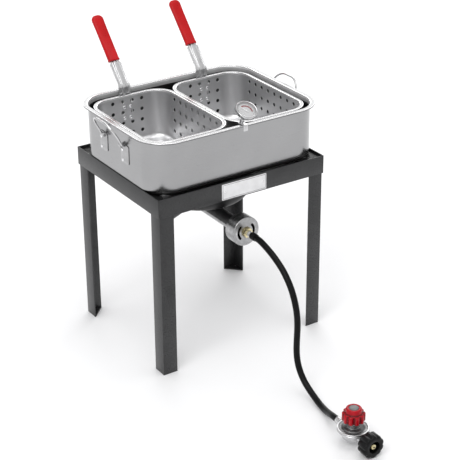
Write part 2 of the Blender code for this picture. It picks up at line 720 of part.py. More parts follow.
def rivets(name, spots, axis, inner, outer):
    """Rivets along an axis: a shank from inner to outer, with a domed head at the inner end."""
    bm = bmesh.new()
    turn = Vector((0, 0, 1)).rotation_difference(Vector(axis)).to_matrix().to_4x4()
    for spot in spots:
        profile = (
            (RIVET_HEAD_R * 0.5, inner - RIVET_HEAD_T),
            (RIVET_HEAD_R, inner - RIVET_HEAD_T * 0.4),
            (RIVET_HEAD_R, inner),
            (RIVET_R, inner),
            (RIVET_R, outer),
        )
        loops = []
        for radius, z in profile:
            frame = Matrix.Translation(spot) @ turn
            loops.append([bm.verts.new(frame @ Vector(p)) for p in circle_points(radius, RIVET_SIDES, z)])
        for low, high in zip(loops, loops[1:]):
            for i in range(RIVET_SIDES):
                j = (i + 1) % RIVET_SIDES
                bm.faces.new((low[i], low[j], high[j], high[i]))
        bm.faces.new(loops[0][::-1])
        bm.faces.new(loops[-1])
    return from_bmesh(name, bm)


def build_brackets(side, sign, parent):
    """Two riveted hinge brackets on one side wall of the pan."""
    wall = PAN_A + GAP
    eye_inset = BAIL_WIRE + 0.0006 + EYE_LEN / 2
    for depth, end in (("front", -1), ("back", 1)):
        name = f"bail_bracket_{side}_{depth}"
        low = BAIL_Z - BRACKET_H + 0.003
        y = BAIL_Y + end * BAIL_LEG
        centre = (sign * (wall + BRACKET_T / 2), y, low + BRACKET_H / 2)
        bracket = bar(name, (BRACKET_T, BRACKET_W, BRACKET_H), centre)
        hinge = (sign * (PAN_A + BAIL_OUT), y - end * eye_inset, BAIL_Z)
        eye = turned(f"tool_eye_{name}", ((EYE_R, -EYE_LEN / 2), (EYE_R, EYE_LEN / 2)), 14)
        join(bracket, aim(eye, hinge, (0, 1, 0)))
        spots = bracket_rivets(sign, end)
        shank_end = GAP + BRACKET_T * 0.7
        pins = rivets(f"tool_rivets_{name}", spots, (sign, 0, 0), -PAN_SHEET - GAP, shank_end)
        join(bracket, pins)
        heads = [((sign * (wall + BRACKET_T), rivet_y, z), (sign, 0, 0)) for _, rivet_y, z in spots]
        caps = many_cylinders(f"tool_heads_{name}", heads, RIVET_HEAD_R, RIVET_SIDES, 0.0015)
        join(bracket, caps)
        bore = turned(f"tool_bore_{name}", ((EYE_BORE, -EYE_LEN), (EYE_BORE, EYE_LEN)), 12)
        cut(bracket, aim(bore, hinge, (0, 1, 0)))
        for piece in (eye, pins, caps, bore):
            piece.parent = parent
        place(bracket, "aluminium", parent)


def build_bail(side, sign, parent):
    """A D-shaped wire handle. Its own origin is on the hinge line."""
    axle = empty(f"bail_{side}_axis", (sign * (PAN_A + BAIL_OUT), BAIL_Y, BAIL_Z), parent)
    foot = BAIL_LEG - BAIL_FOOT - EYE_LEN
    path = [(-foot, 0.0)] + arc(-BAIL_LEG + BAIL_FOOT, BAIL_FOOT, BAIL_FOOT, -90, -180, 3)
    path += arc(-BAIL_LEG + BAIL_CORNER, BAIL_H - BAIL_CORNER, BAIL_CORNER, 180, 90, 7)
    path += [(-y, s) for y, s in reversed(path)]
    rings = []
    for i, (y, s) in enumerate(path):
        before = Vector(path[max(i - 1, 0)])
        after = Vector(path[min(i + 1, len(path) - 1)])
        along = (after - before).normalized()
        normal = Vector((0, -along.y, along.x))
        centre = Vector((0, y, s))
        rings.append([centre + normal * u + Vector((1, 0, 0)) * v for u, v, _ in circle_points(BAIL_WIRE, 8, 0)])
    bail = loft(f"bail_{side}", rings)
    bail.rotation_euler = (0, sign * BAIL_LEAN, 0)
    place(bail, "chrome", axle)


def basket_holes(cx):
    """Centres and axes of the holes in one basket's walls and floor."""
    spots = []
    zs = [BASKET_TOP - HOLE_TOP - HOLE_PITCH_Z * row for row in range(HOLE_ROWS)]
    xs = [cx + HOLE_PITCH_X * (col - (HOLE_COLS_X - 1) / 2) for col in range(HOLE_COLS_X)]
    ys = [BASKET_Y + HOLE_PITCH_Y * (col - (HOLE_COLS_Y - 1) / 2) for col in range(HOLE_COLS_Y)]
    for z in zs:
        for x in xs:
            spots += [((x, BASKET_Y + side * BASKET_B, z), (0, 1, 0)) for side in (-1, 1)]
        for y in ys:
            spots += [((cx + side * BASKET_A, y, z), (1, 0, 0)) for side in (-1, 1)]
    floor_z = STAND_H - LEDGE_DROP + 2 * GAP + PAN_SHEET
    for i in (-1, 0, 1):
        for j in (-2, -1, 0, 1, 2):
            spots.append(((cx + i * FLOOR_PITCH, BASKET_Y + j * FLOOR_PITCH, floor_z), (0, 0, 1)))
    return spots


def build_basket(side, sign, pan):
    cx = sign * BASKET_X
    carrier = empty(f"basket_{side}_origin", (0, 0, 0), pan)
    bottom = STAND_H - LEDGE_DROP + 2 * GAP + PAN_SHEET
    profile = tub_profile(
        bottom, BASKET_TOP, BASKET_SHEET, BASKET_FLANGE, BASKET_BEND, BASKET_FILLET, BASKET_LIP
    )
    basket = tub(f"basket_{side}", (cx, BASKET_Y), BASKET_A, BASKET_B, BASKET_R, profile)
    holes = many_cylinders(f"tool_holes_{side}", basket_holes(cx), HOLE_R, HOLE_SIDES, 0.006)
    holes.parent = carrier
    cut(basket, holes)
    wall = BASKET_Y + BASKET_B
    pins = [((cx + u, wall, z), (0, 1, 0)) for u in (-RIVET_U, RIVET_U) for z in RIVET_Z]
    pin_holes = many_cylinders(f"tool_pin_holes_{side}", pins, RIVET_R + GAP, RIVET_SIDES, 0.005)
    pin_holes.parent = carrier
    cut(basket, pin_holes)
    place(basket, "aluminium", carrier)
    build_handle(side, cx, wall, carrier)


def handle_path(wall):
    """(y, z, width share) of the handle's front face, from its foot to its tip."""
    out = wall + BASKET_FLANGE + 2 * GAP
    top = BASKET_TOP + HANDLE_RISE
    lean = (sin(HANDLE_LEAN), cos(HANDLE_LEAN))
    path = [
        (wall + GAP, 0.508, 1.0),
        (wall + GAP, 0.5560, 1.0),
        (out, 0.5680, 1.0),
        (out, top, 1.0),
    ]
    steps = ((GRIP_START - 0.006, 1.0), (GRIP_START, TONGUE), (HANDLE_LEN - 0.012, TONGUE))
    return path + [(out + lean[0] * s, top + lean[1] * s, share) for s, share in steps]


def build_handle(side, cx, wall, parent):
    half = HANDLE_W / 2
    upper = [(-half, 0), (-half + 0.0017, 0), (-half + 0.0033, -RIB_H), (-0.0052, -RIB_H), (-0.0036, 0)]
    upper += [(-u, v) for u, v in reversed(upper)]
    section = upper + [(u, v - HANDLE_SHEET) for u, v in reversed(upper)]
    path = handle_path(wall)
    rings = []
    for i, (y, z, share) in enumerate(path):
        here = Vector((y, z))
        back = (here - Vector(path[i - 1][:2])).normalized() if i else None
        ahead = (Vector(path[i + 1][:2]) - here).normalized() if i + 1 < len(path) else None
        back, ahead = back or ahead, ahead or back
        along = (back + ahead).normalized()
        stretch = 1 / along.dot(ahead)
        front = Vector((-along.y, along.x)) * stretch
        rings.append([(cx + u * share, y + front.x * v, z + front.y * v) for u, v in section])
    handle = loft(f"basket_handle_{side}", rings)
    spots = [(cx + u, wall, z) for u in (-RIVET_U, RIVET_U) for z in RIVET_Z]
    shank = GAP + RIB_H + HANDLE_SHEET * 0.6
    pins = rivets(f"tool_handle_rivets_{side}", spots, (0, 1, 0), -BASKET_SHEET - GAP, shank)
    pins.parent = parent
    join(handle, pins)
    place(handle, "steel", parent, smooth=False)
    build_grip(side, cx, path[3], parent)


def build_grip(side, cx, bend, parent):
    """A dipped vinyl sleeve with a closed round end."""
    along = Vector((0, sin(HANDLE_LEAN), cos(HANDLE_LEAN)))
    up = Vector((0, -cos(HANDLE_LEAN), sin(HANDLE_LEAN)))
    origin = Vector((cx, bend[0], bend[1])) - up * (RIB_H + HANDLE_SHEET) / 2

    def ring(half_w, half_t, radius, s):
        flat = rounded_ring(half_w, half_t, radius, 0, steps=4)
        return [origin + Vector((1, 0, 0)) * u + up * v + along * s for u, v, _ in flat]

    slot_w = HANDLE_W * TONGUE / 2 + 0.0006
    slot_t = (RIB_H + HANDLE_SHEET) / 2 + 0.0005
    w, t = GRIP_W / 2, GRIP_T / 2
    rings = [
        ring(slot_w, slot_t, 0.0010, HANDLE_LEN - 0.010),
        ring(slot_w, slot_t, 0.0010, GRIP_START + 0.0012),
        ring(w - 0.0012, t - 0.0010, 0.0040, GRIP_START + 0.0012),
        ring(w, t, 0.0050, GRIP_START + 0.0030),
        ring(w, t, 0.0050, HANDLE_LEN - 0.012),
        ring(w * 0.95, t * 0.93, 0.0050, HANDLE_LEN - 0.006),
        ring(w * 0.80, t * 0.78, 0.0042, HANDLE_LEN - 0.0015),
        ring(w * 0.55, t * 0.50, 0.0026, HANDLE_LEN),
    ]
    place(loft(f"handle_grip_{side}", rings), "red_vinyl", parent)


# ---------------------------------------------------------------- thermometer
def build_thermometer(pan):
    """Everything here is built along the stem's own axis, with z = 0 where the stem passes the pan's rim."""
    up = Vector((0, -sin(STEM_TILT), cos(STEM_TILT)))
    axle = empty("thermometer_axis", (0, 0, 0), pan)
    aim(axle, (STEM_X, STEM_Y, STEM_Z), up)
    face = DIAL_UP
    case_profile = (
        (0.0046, face - 0.0150),
        (0.0080, face - 0.0128),
        (0.0110, face - 0.0100),
        (DIAL_R - 0.0015, face - 0.0095),
        (DIAL_R, face - 0.0080),
        (DIAL_R, face - 0.0010),
        (DIAL_R - 0.0010, face),
        (DIAL_R - 0.0032, face),
        (DIAL_R - 0.0036, face - 0.0010),
        (DIAL_R - 0.0036, face - 0.0070),
        (0.0046, face - 0.0070),
    )
    place(turned("thermometer_case", case_profile, 30, closed=True), "chrome", axle)
    dial_r = DIAL_R - 0.0040
    dial_profile = ((0.0012, face - 0.0067), (dial_r, face - 0.0067), (dial_r, face - 0.0060), (0.0012, face - 0.0060))
    place(turned("thermometer_dial", dial_profile, 30, closed=True), "dial", axle)
    lens = turned("thermometer_lens", ((dial_r, face - 0.0028), (dial_r, face - 0.0016)), 30)
    place(lens, "glass", axle)
    stem_profile = ((0.0006, -STEM_DOWN), (STEM_R, -STEM_DOWN + 0.003), (STEM_R, face - 0.0154))
    stem = turned("thermometer_stem", stem_profile, 16)
    place(stem, "steel", axle)
    spindle = empty("needle_axis", (0, 0, face - 0.0052), axle)
    outline = [(-0.0012, -0.0060), (0.0012, -0.0060), (0.0016, 0), (0.0005, 0.0190), (-0.0005, 0.0190), (-0.0016, 0)]
    needle = prism("thermometer_needle", outline, -0.0003, 0.0003)
    pin = turned("tool_needle_pin", ((0.0008, -0.0022), (0.0008, 0), (0.0022, 0.0001), (0.0022, 0.0009)), 12)
    pin.parent = spindle
    join(needle, pin)
    place(needle, "steel", spindle, smooth=False)
    needle.rotation_euler = (0, 0, radians(28))
    build_clip(axle, pan, up)


def build_clip(axle, pan, up):
    """A spring clip over the pan's front rim, with a collar that the stem slides in."""
    sheet, width = 0.0012, 0.012
    lip_y = -(PAN_B + PAN_FLANGE) - GAP
    over = PAN_TOP + GAP
    outside = [(lip_y, over - 0.013), (lip_y, over), (-0.1660, over)]
    inside = [(-0.1660, over + sheet), (lip_y - sheet, over + sheet), (lip_y - sheet, over - 0.0140)]
    outline = outside + inside
    rings = [[(STEM_X + u, y, z) for y, z in outline] for u in (-width / 2, width / 2)]
    clip = loft("thermometer_clip", rings)
    collar = turned("tool_clip_collar", ((0.0050, 0.0040), (0.0050, 0.0180), (0.0044, 0.0190)), 20)
    collar.parent = axle
    join(clip, collar)
    bore = turned("tool_clip_bore", ((STEM_R + GAP, -0.020), (STEM_R + GAP, 0.030)), 16)
    bore.parent = axle
    cut(clip, bore)
    place(clip, "steel", pan, smooth=False)


# ---------------------------------------------------------------- the whole kit
def main():
    build_rails()
    build_legs()
    build_arm("burner_arm_front_left", -1, -1)
    build_arm("burner_arm_back_right", 1, 1)
    build_nameplate()
    build_wind_guard()
    build_casting()
    build_burner_cap()
    build_burner_bolt()
    build_air_plate()
    build_shutter()
    build_gas_fittings()
    build_hose()
    ferrule("hose_ferrule_regulator", (REG_X, HOSE_ROUTE[-1][1] - GAP, REG_Z), 0.0128, "steel")
    build_regulator_body()
    build_regulator_top()
    build_knob()
    build_inlet()
    pan = empty("pan_origin", (0, 0, 0))
    build_pan(pan)
    for side, sign in (("left", -1), ("right", 1)):
        build_brackets(side, sign, pan)
        build_bail(side, sign, pan)
        build_basket(side, sign, pan)
    build_thermometer(pan)


main()
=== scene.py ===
"""Looks for the outdoor double-basket fryer kit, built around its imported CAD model.

Units are metres and +Z is up. Pieces are made in the stand's own frame, whose middle is X = 0 and Y = 0 at
floor level, and are then moved by STAND_SHIFT_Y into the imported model's frame.
"""
from math import cos, pi, radians, sin, sqrt, tan

import bmesh
import bpy
import numpy as np
from mathutils import Matrix, Vector


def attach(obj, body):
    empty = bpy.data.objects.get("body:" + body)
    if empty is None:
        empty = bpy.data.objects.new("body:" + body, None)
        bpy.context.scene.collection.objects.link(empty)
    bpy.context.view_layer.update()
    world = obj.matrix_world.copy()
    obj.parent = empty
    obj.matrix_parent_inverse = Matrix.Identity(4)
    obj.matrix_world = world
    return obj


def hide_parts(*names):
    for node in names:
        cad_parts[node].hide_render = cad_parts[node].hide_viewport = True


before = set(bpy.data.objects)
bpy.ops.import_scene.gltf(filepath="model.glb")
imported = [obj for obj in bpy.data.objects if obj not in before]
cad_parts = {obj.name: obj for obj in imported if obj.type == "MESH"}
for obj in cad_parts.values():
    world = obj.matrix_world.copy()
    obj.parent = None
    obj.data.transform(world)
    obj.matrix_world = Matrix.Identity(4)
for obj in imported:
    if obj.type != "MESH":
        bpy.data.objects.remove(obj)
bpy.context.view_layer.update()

# ---- driving dimensions, as in the CAD, but for the air slots, which are a little wider
GAP = 0.0003
STAND_SHIFT_Y = -0.0345

STAND_D, STAND_H = 0.381, 0.4572
APRON_H, LEDGE_DROP = 0.0457, 0.008
PLATE_W, PLATE_H, PLATE_T = 0.1235, 0.0395, 0.0012
BORDER = (
    (0.0022, 0.0015, 0.0002), (0.0031, 0.0011, 0.0002),
    (0.0031, 0.0011, -0.00008), (0.0022, 0.0015, -0.00008),
)

PAN_A, PAN_B, PAN_R = 0.2285, 0.1745, 0.063
PAN_TOP, PAN_SHEET = 0.584, 0.0015
PAN_FLANGE, PAN_BEND, PAN_FILLET, PAN_LIP = 0.012, 0.005, 0.012, 0.0035
INNER_BAND, EDGE_ROUND = 0.0125, 0.0013
PAN_BOTTOM = STAND_H - LEDGE_DROP + GAP

BASKET_X, BASKET_Y = 0.1099, 0.001
BASKET_A, BASKET_B, BASKET_R = 0.1003, 0.1490, 0.046
BASKET_TOP, BASKET_SHEET = 0.576, 0.0012
BASKET_FLANGE, BASKET_BEND, BASKET_FILLET, BASKET_LIP = 0.009, 0.004, 0.016, 0.0025
BASKET_BOTTOM = STAND_H - LEDGE_DROP + 2 * GAP + PAN_SHEET
HOLE_R, HOLE_SIDES, HOLE_CHAMFER = 0.0046, 20, 0.0003
HOLE_TOP, HOLE_ROWS, HOLE_PITCH_Z = 0.0145, 4, 0.0275
HOLE_COLS_X, HOLE_PITCH_X = 4, 0.0267
HOLE_COLS_Y, HOLE_PITCH_Y = 8, 0.0268
FLOOR_PITCH = 0.048

HANDLE_W, HANDLE_SHEET, RIB_H = 0.032, 0.0016, 0.0032
HANDLE_RISE, HANDLE_LEAN, HANDLE_LEN = 0.022, radians(42), 0.191
HANDLE_FOOT, HANDLE_STEP = 0.508, (0.5560, 0.5680)
GRIP_START, GRIP_W, GRIP_T, TONGUE, GRIP_CROWN = 0.066, 0.0305, 0.0130, 0.60, 0.0125
RIVET_HEAD_R = 0.0042
RIVET_U, RIVET_Z = 0.0085, (0.519, 0.547)

BAIL_Y, BAIL_Z, BAIL_OUT = 0.004, 0.540, 0.0062
BAIL_LEG, BAIL_H = 0.0490, 0.061
BAIL_WIRE, BAIL_LEAN, BAIL_CORNER, BAIL_FOOT = 0.0026, radians(28), 0.039, 0.003
EYE_R, EYE_BORE, EYE_LEN = 0.0046, 0.0031, 0.012
BRACKET_W, BRACKET_H, BRACKET_T = 0.034, 0.046, 0.0015
BRACKET_RIVETS, BRACKET_RIVET_Y = (0.5280, 0.5025), 0.0100

GUARD_R, GUARD_Z0, GUARD_Z1, GUARD_FILLET, GUARD_T, GUARD_HOLE = 0.123, 0.345, 0.425, 0.030, 0.0015, 0.030
TUBE_Z, TUBE_R, TUBE_BORE = 0.322, 0.0175, 0.0140
MOUTH_Y, MOUTH_R = -0.1660, 0.0270
HEAD_R, HEAD_Z0, HEAD_Z1, HEAD_WALL = 0.057, 0.360, 0.384, 0.006
PORT_RING_R, PORTS = 0.042, 16
CUP_R, CUP_Y, CUP_T = 0.0362, -0.1993, 0.0014
SLOT_R, SLOT_W, SLOT_HALF = 0.0215, 0.0064, 41
ORIFICE_HEX, SWIVEL_LEN = 0.009, 0.0140
FERRULE_R, FERRULE_EDGE, FERRULE_LEN = 0.0088, 0.0012, 0.0128

REG_X, REG_Y, REG_Z = -0.026, -0.653, 0.0275
FLANGE_R, FLANGE_TOP, PORT_DROP = 0.036, 0.0400, 0.0045
DISH_R, DISH_LOW, DISH_HIGH = 0.0315, FLANGE_TOP - 0.0006, FLANGE_TOP + 0.0050
SPRING_TURNS, SPRING_R, SPRING_WIRE, SPRING_Z, SPRING_RISE = 4, 0.0078, 0.0011, 0.0381, 0.0122
KNOB_R, KNOB_LOBE, KNOB_LOBES = 0.0258, 0.0042, 10
NUT_R, NUT_LOBES, NUT_BACK, NUT_FRONT = 0.0272, 10, 0.0400, 0.0755
LOBE_STEPS, INLET_FACE = 20, 0.0375
HOSE_R = 0.0075

STEM_X, STEM_Y, STEM_Z = 0.0065, -0.167, 0.580
STEM_TILT = radians(29.3)
STEM_R, DIAL_R, DIAL_UP, STEM_DOWN = 0.0020, 0.026, 0.052, 0.128

HOSE_ROUTE = (
    (0.000, -0.2411, 0.3220), (0.000, -0.2450, 0.3220), (0.000, -0.2590, 0.3206),
    (0.000, -0.2780, 0.3158), (0.000, -0.3045, 0.3068), (0.000, -0.3284, 0.2958),
    (0.000, -0.3483, 0.2838), (0.000, -0.3642, 0.2702), (0.000, -0.3775, 0.2556),
    (0.000, -0.3880, 0.2396), (0.000, -0.3963, 0.2225), (0.000, -0.4024, 0.2045),
    (0.000, -0.4060, 0.1860), (0.000, -0.4073, 0.1657), (0.000, -0.4067, 0.1439),
    (0.000, -0.4057, 0.1220), (0.000, -0.4058, 0.1010), (0.000, -0.4085, 0.0812),
    (0.000, -0.4149, 0.0630), (0.000, -0.4258, 0.0468), (0.000, -0.4410, 0.0326),
    (0.000, -0.4600, 0.0212), (-0.001, -0.4820, 0.0128), (-0.004, -0.5050, 0.0086),
    (-0.008, -0.5270, 0.0092), (-0.0135, -0.5470, 0.0140), (-0.0190, -0.5640, 0.0200),
    (-0.0240, -0.5800, 0.0255), (-0.0260, -0.5935, 0.0275), (-0.0260, -0.5969, 0.0275),
)
HOSE_POINTS = 110

LENS, CAMERA_PLACE = 111.8, (-1.68533, -2.71490, 1.80173)
CAMERA_RIGHT = (0.83285, -0.55347, -0.00506)
CAMERA_UP = (0.24809, 0.36511, 0.89730)
CAMERA_BACK = (-0.49478, -0.74858, 0.44139)

SCENE = bpy.context.scene.collection
SHIFT = Matrix.Translation((0, STAND_SHIFT_Y, 0))


# ---- camera
def build_camera():
    camera = bpy.data.objects.new("camera", bpy.data.cameras.new("camera"))
    SCENE.objects.link(camera)
    camera.data.lens = LENS
    camera.data.sensor_width = 36
    camera.data.clip_end = 60
    turn = Matrix((CAMERA_RIGHT, CAMERA_UP, CAMERA_BACK)).transposed().to_4x4()
    camera.matrix_world = Matrix.Translation(CAMERA_PLACE) @ turn
    bpy.context.scene.camera = camera


# ---- materials
def node(tree, kind, values=None, links=None, **settings):
    made = tree.nodes.new("ShaderNode" + kind)
    for key, value in settings.items():
        setattr(made, key, value)
    for key, value in (values or {}).items():
        made.inputs[key].default_value = value
    for key, source in (links or {}).items():
        tree.links.new(source, made.inputs[key])
    return made


def ramp(tree, source, dark, light):
    """A colour ramp between two colours."""
    made = node(tree, "ValToRGB", links={"Fac": source})
    first, last = made.color_ramp.elements
    first.position, last.position = 0.34, 0.66
    first.color, last.color = (*dark, 1), (*light, 1)
    return made.outputs["Color"]


def mixed(tree, factor, colour, shade):
    """A colour that turns into a fixed shade where the factor is high."""
    made = node(tree, "Mix", {7: (*shade, 1)}, {0: factor, 6: colour}, data_type="RGBA")
    return made.outputs[2]


def spun_coordinates(tree, source):
    """Distance from the piece's own axis and height along it, so that grain runs round the piece."""
    flat = node(tree, "VectorMath", {1: (1, 1, 0)}, {0: source}, operation="MULTIPLY")
    radius = node(tree, "VectorMath", links={0: flat.outputs["Vector"]}, operation="LENGTH")
    parts = node(tree, "SeparateXYZ", links={"Vector": source})
    joined = node(tree, "CombineXYZ", links={"X": radius.outputs["Value"], "Z": parts.outputs["Z"]})
    return joined.outputs["Vector"]


def tone(value):
    """A colour, or a grey that is given as one level."""
    return value if isinstance(value, tuple) else (value, value, value * 1.01)


def surface(name, dark, light, rough, metallic=0.0, patch=60, grain=900, bump=0.15, depth=0.0001,
            spun=False, edge_wear_and_highlight=None, hollow_painted_shade=None, sockets=None):
    """A layered finish: patches of colour, fine grain in roughness and bump, lighter edges from pointiness
    (worn edges, and a painted edge highlight on the hand nut) and painted shade in hollows.
    """
    made = bpy.data.materials.new(name)
    made.use_nodes = True
    tree = made.node_tree
    shader = tree.nodes["Principled BSDF"]
    coords = node(tree, "TexCoord").outputs["Object"]
    place = spun_coordinates(tree, coords) if spun else coords
    patches = node(tree, "TexNoise", {"Scale": patch, "Detail": 4.0}, {"Vector": coords}).outputs["Fac"]
    colour = ramp(tree, patches, tone(dark), tone(light))
    scale = grain if isinstance(grain, tuple) else (grain, grain, grain)
    stretched = node(tree, "Mapping", {"Scale": scale}, {"Vector": place}).outputs["Vector"]
    fine = node(tree, "TexNoise", {"Scale": 1.0, "Detail": 3.0}, {"Vector": stretched}).outputs["Fac"]
    # Lighter convex edges from pointiness: wear, and a painted edge highlight on the hand nut.
    if edge_wear_and_highlight:
        edges = node(tree, "NewGeometry").outputs["Pointiness"]
        bright_edges = node(tree, "MapRange", {"From Min": 0.52, "From Max": 0.62, "To Max": 0.8}, {"Value": edges})
        patchy_bright_edges = node(tree, "Math", links={0: bright_edges.outputs["Result"], 1: patches}, operation="MULTIPLY")
        colour = mixed(tree, patchy_bright_edges.outputs["Value"], colour, tone(edge_wear_and_highlight))
    # Painted shade: hollows found from pointiness are darkened.
    if hollow_painted_shade:
        depths = node(tree, "NewGeometry").outputs["Pointiness"]
        painted_hollow_shade = node(tree, "MapRange", {"From Min": 0.49, "From Max": 0.42}, {"Value": depths})
        colour = mixed(tree, painted_hollow_shade.outputs["Result"], colour, tone(hollow_painted_shade))
    tree.links.new(colour, shader.inputs["Base Color"])
    spread = {"From Min": 0.3, "From Max": 0.7, "To Min": rough[0], "To Max": rough[1]}
    gloss = node(tree, "MapRange", spread, {"Value": fine}).outputs["Result"]
    tree.links.new(gloss, shader.inputs["Roughness"])
    relief = node(tree, "Bump", {"Strength": bump, "Distance": depth}, {"Height": fine}).outputs["Normal"]
    tree.links.new(relief, shader.inputs["Normal"])
    shader.inputs["Metallic"].default_value = metallic
    for key, value in (sockets or {}).items():
        shader.inputs[key].default_value = value
    return made


def build_looks():
    return {
        "paint": surface(
            "black_paint", (0.012, 0.0123, 0.013), (0.017, 0.0173, 0.018), (0.24, 0.36), patch=30,
            grain=650, bump=0.10, edge_wear_and_highlight=(0.05, 0.05, 0.052),
        ),
        "guard": surface(
            "guard_paint", (0.006, 0.006, 0.0065), (0.012, 0.012, 0.013), (0.35, 0.55), patch=26, grain=500,
            bump=0.2,
        ),
        "iron": surface(
            "cast_iron", (0.012, 0.012, 0.013), (0.03, 0.03, 0.032), (0.42, 0.65), grain=420, bump=0.55,
            depth=0.0004, edge_wear_and_highlight=(0.12, 0.12, 0.12),
        ),
        "pan": surface(
            "pan_aluminium", 0.345, 0.375, (0.20, 0.28), 1.0, patch=9, grain=(30, 30, 900), bump=0.06,
            depth=0.00004, edge_wear_and_highlight=0.8,
        ),
        # Painted shade: the rim's flat is the walls' aluminium made darker, to hold back its reflection of
        # the softboxes.
        "rim": surface("rim_painted_shade_aluminium", 0.17, 0.21, (0.18, 0.26), 1.0, patch=30, grain=700, bump=0.06),
        # Painted highlight for the rim edges, the inner bend and the line along the pan's base.
        "edge": surface("painted_highlight_edge", 0.84, 0.92, (0.12, 0.20), 1.0, bump=0.04),
        # Painted light: the upper inside band of the pan is made paler to stand in for a bright reflection
        # there.
        "pan_band_painted_light": surface(
            "pan_upper_inner_painted_light", 0.42, 0.50, (0.34, 0.46), 0.35, patch=24, grain=(30, 30, 900),
            bump=0.06, depth=0.00004,
        ),
        # Painted shade: the pan's inside below the upper band is dark aluminium.
        "pan_inside_painted_shade": surface(
            "pan_inner_painted_shade", 0.09, 0.13, (0.30, 0.44), 1.0, patch=24, grain=300, bump=0.12,
        ),
        "basket": surface(
            "basket_aluminium", 0.62, 0.68, (0.32, 0.38), 1.0, patch=14, grain=(300, 300, 40), bump=0.02,
            depth=0.00002, edge_wear_and_highlight=0.9,
        ),
        "bracket": surface(
            "bracket_aluminium", 0.36, 0.42, (0.20, 0.30), 1.0, grain=600, bump=0.08, edge_wear_and_highlight=0.85,
        ),
        "rivet": surface("rivet_aluminium", 0.80, 0.88, (0.12, 0.20), 1.0, patch=200),
        "strap": surface(
            "handle_steel", 0.58, 0.70, (0.22, 0.34), 1.0, patch=30, grain=(1600, 40, 40), bump=0.12,
            depth=0.00006, edge_wear_and_highlight=0.9,
        ),
        "plated": surface(
            "plated_steel", 0.55, 0.72, (0.20, 0.34), 1.0, patch=70, grain=(2400, 2400, 900), bump=0.14,
            depth=0.00006, spun=True, edge_wear_and_highlight=0.9,
        ),
        "shutter": surface(
            "shutter_plating", 0.32, 0.42, (0.24, 0.36), 1.0, patch=90, grain=(1800, 1800, 900), bump=0.16,
            depth=0.00006, spun=True, edge_wear_and_highlight=0.75,
        ),
        # Painted reflection: a pale iron for the mixing tube's underside, standing in for the floor it
        # reflects.
        "underside_painted_light": surface("underside_painted_light", 0.30, 0.42, (0.30, 0.42), 1.0, grain=420, bump=0.4, depth=0.0003),
        "cast": surface(
            "regulator_casting", 0.52, 0.66, (0.22, 0.40), 1.0, patch=80, grain=1500, bump=0.2,
            depth=0.00008, spun=True, edge_wear_and_highlight=0.9,
        ),
        "chrome": surface("chrome_plate", 0.52, 0.62, (0.06, 0.12), 1.0, grain=700, bump=0.04),
        "brass": surface(
            "turned_brass", (0.50, 0.42, 0.22), (0.74, 0.66, 0.42), (0.18, 0.32), 1.0, patch=120,
            grain=(2600, 2600, 1200), depth=0.00006, spun=True, edge_wear_and_highlight=(0.95, 0.85, 0.55),
        ),
        "vinyl": surface(
            "red_vinyl", (0.42, 0.002, 0.004), (0.50, 0.003, 0.006), (0.26, 0.36), patch=40, grain=380,
            bump=0.10, depth=0.0002, sockets={"Specular IOR Level": 0.22},
        ),
        # Red plastic with painted shade in its hollows.
        "knob": surface(
            "red_plastic", (0.33, 0.002, 0.008), (0.42, 0.003, 0.011), (0.14, 0.24), grain=600, bump=0.05,
            hollow_painted_shade=(0.07, 0.0006, 0.002), sockets={"Specular IOR Level": 0.2},
        ),
        # Painted shade for the valleys between the lobes and the step under the crown.
        "knob_painted_shade": surface(
            "red_plastic_painted_shade", (0.12, 0.0006, 0.003), (0.17, 0.001, 0.005), (0.20, 0.30), grain=600,
            bump=0.05, sockets={"Specular IOR Level": 0.25},
        ),
        # Painted shade for the recessed dish in the bonnet.
        "dish_painted_shade": surface(
            "bonnet_dish_painted_shade", 0.10, 0.20, (0.24, 0.38), 1.0, patch=70, grain=(1800, 1800, 900), depth=0.00006,
            spun=True,
        ),
        # Black plastic with a painted highlight on its edges and painted shade in its hollows.
        "nut": surface(
            "black_plastic", (0.003, 0.003, 0.0033), (0.006, 0.006, 0.0066), (0.22, 0.34), patch=90,
            edge_wear_and_highlight=(0.03, 0.03, 0.03), hollow_painted_shade=(0.001, 0.001, 0.001), sockets={"Specular IOR Level": 0.14},
        ),
        "hose": surface(
            "hose_rubber", (0.003, 0.003, 0.0032), (0.006, 0.006, 0.0065), (0.26, 0.40), grain=520,
            bump=0.30, depth=0.0002, sockets={"Specular IOR Level": 0.12},
        ),
        "plate": surface(
            "nameplate_metal", 0.70, 0.80, (0.30, 0.42), 0.25, patch=40, grain=(40, 40, 1200), bump=0.08,
        ),
        "groove": surface("plate_border", 0.12, 0.18, (0.4, 0.5), 0.3),
        "dial": surface("dial_print", 0.46, 0.54, (0.35, 0.45), patch=80, bump=0.03),
        "dial_black": surface("dial_ink", 0.02, 0.03, (0.4, 0.5), patch=90),
        "dial_red": surface("dial_band", (0.16, 0.004, 0.006), (0.22, 0.006, 0.008), (0.4, 0.5), patch=90),
        "needle": surface("needle_paint", 0.75, 0.85, (0.3, 0.4), patch=90),
        "insert": surface(
            "knob_cap", 0.10, 0.15, (0.35, 0.5), 0.5, patch=120, grain=(1800, 1800, 900), spun=True,
        ),
        "glass": surface(
            "lens_glass", 0.85, 0.90, (0.02, 0.05), bump=0.01, sockets={"Alpha": 0.06, "IOR": 1.45},
        ),
    }


# ---- mesh helpers
def from_bmesh(name, bm):
    """A linked object from a bmesh, with its faces turned outwards."""
    bmesh.ops.recalc_face_normals(bm, faces=bm.faces)
    mesh = bpy.data.meshes.new(name)
    bm.to_mesh(mesh)
    bm.free()
    obj = bpy.data.objects.new(name, mesh)
    SCENE.objects.link(obj)
    return obj


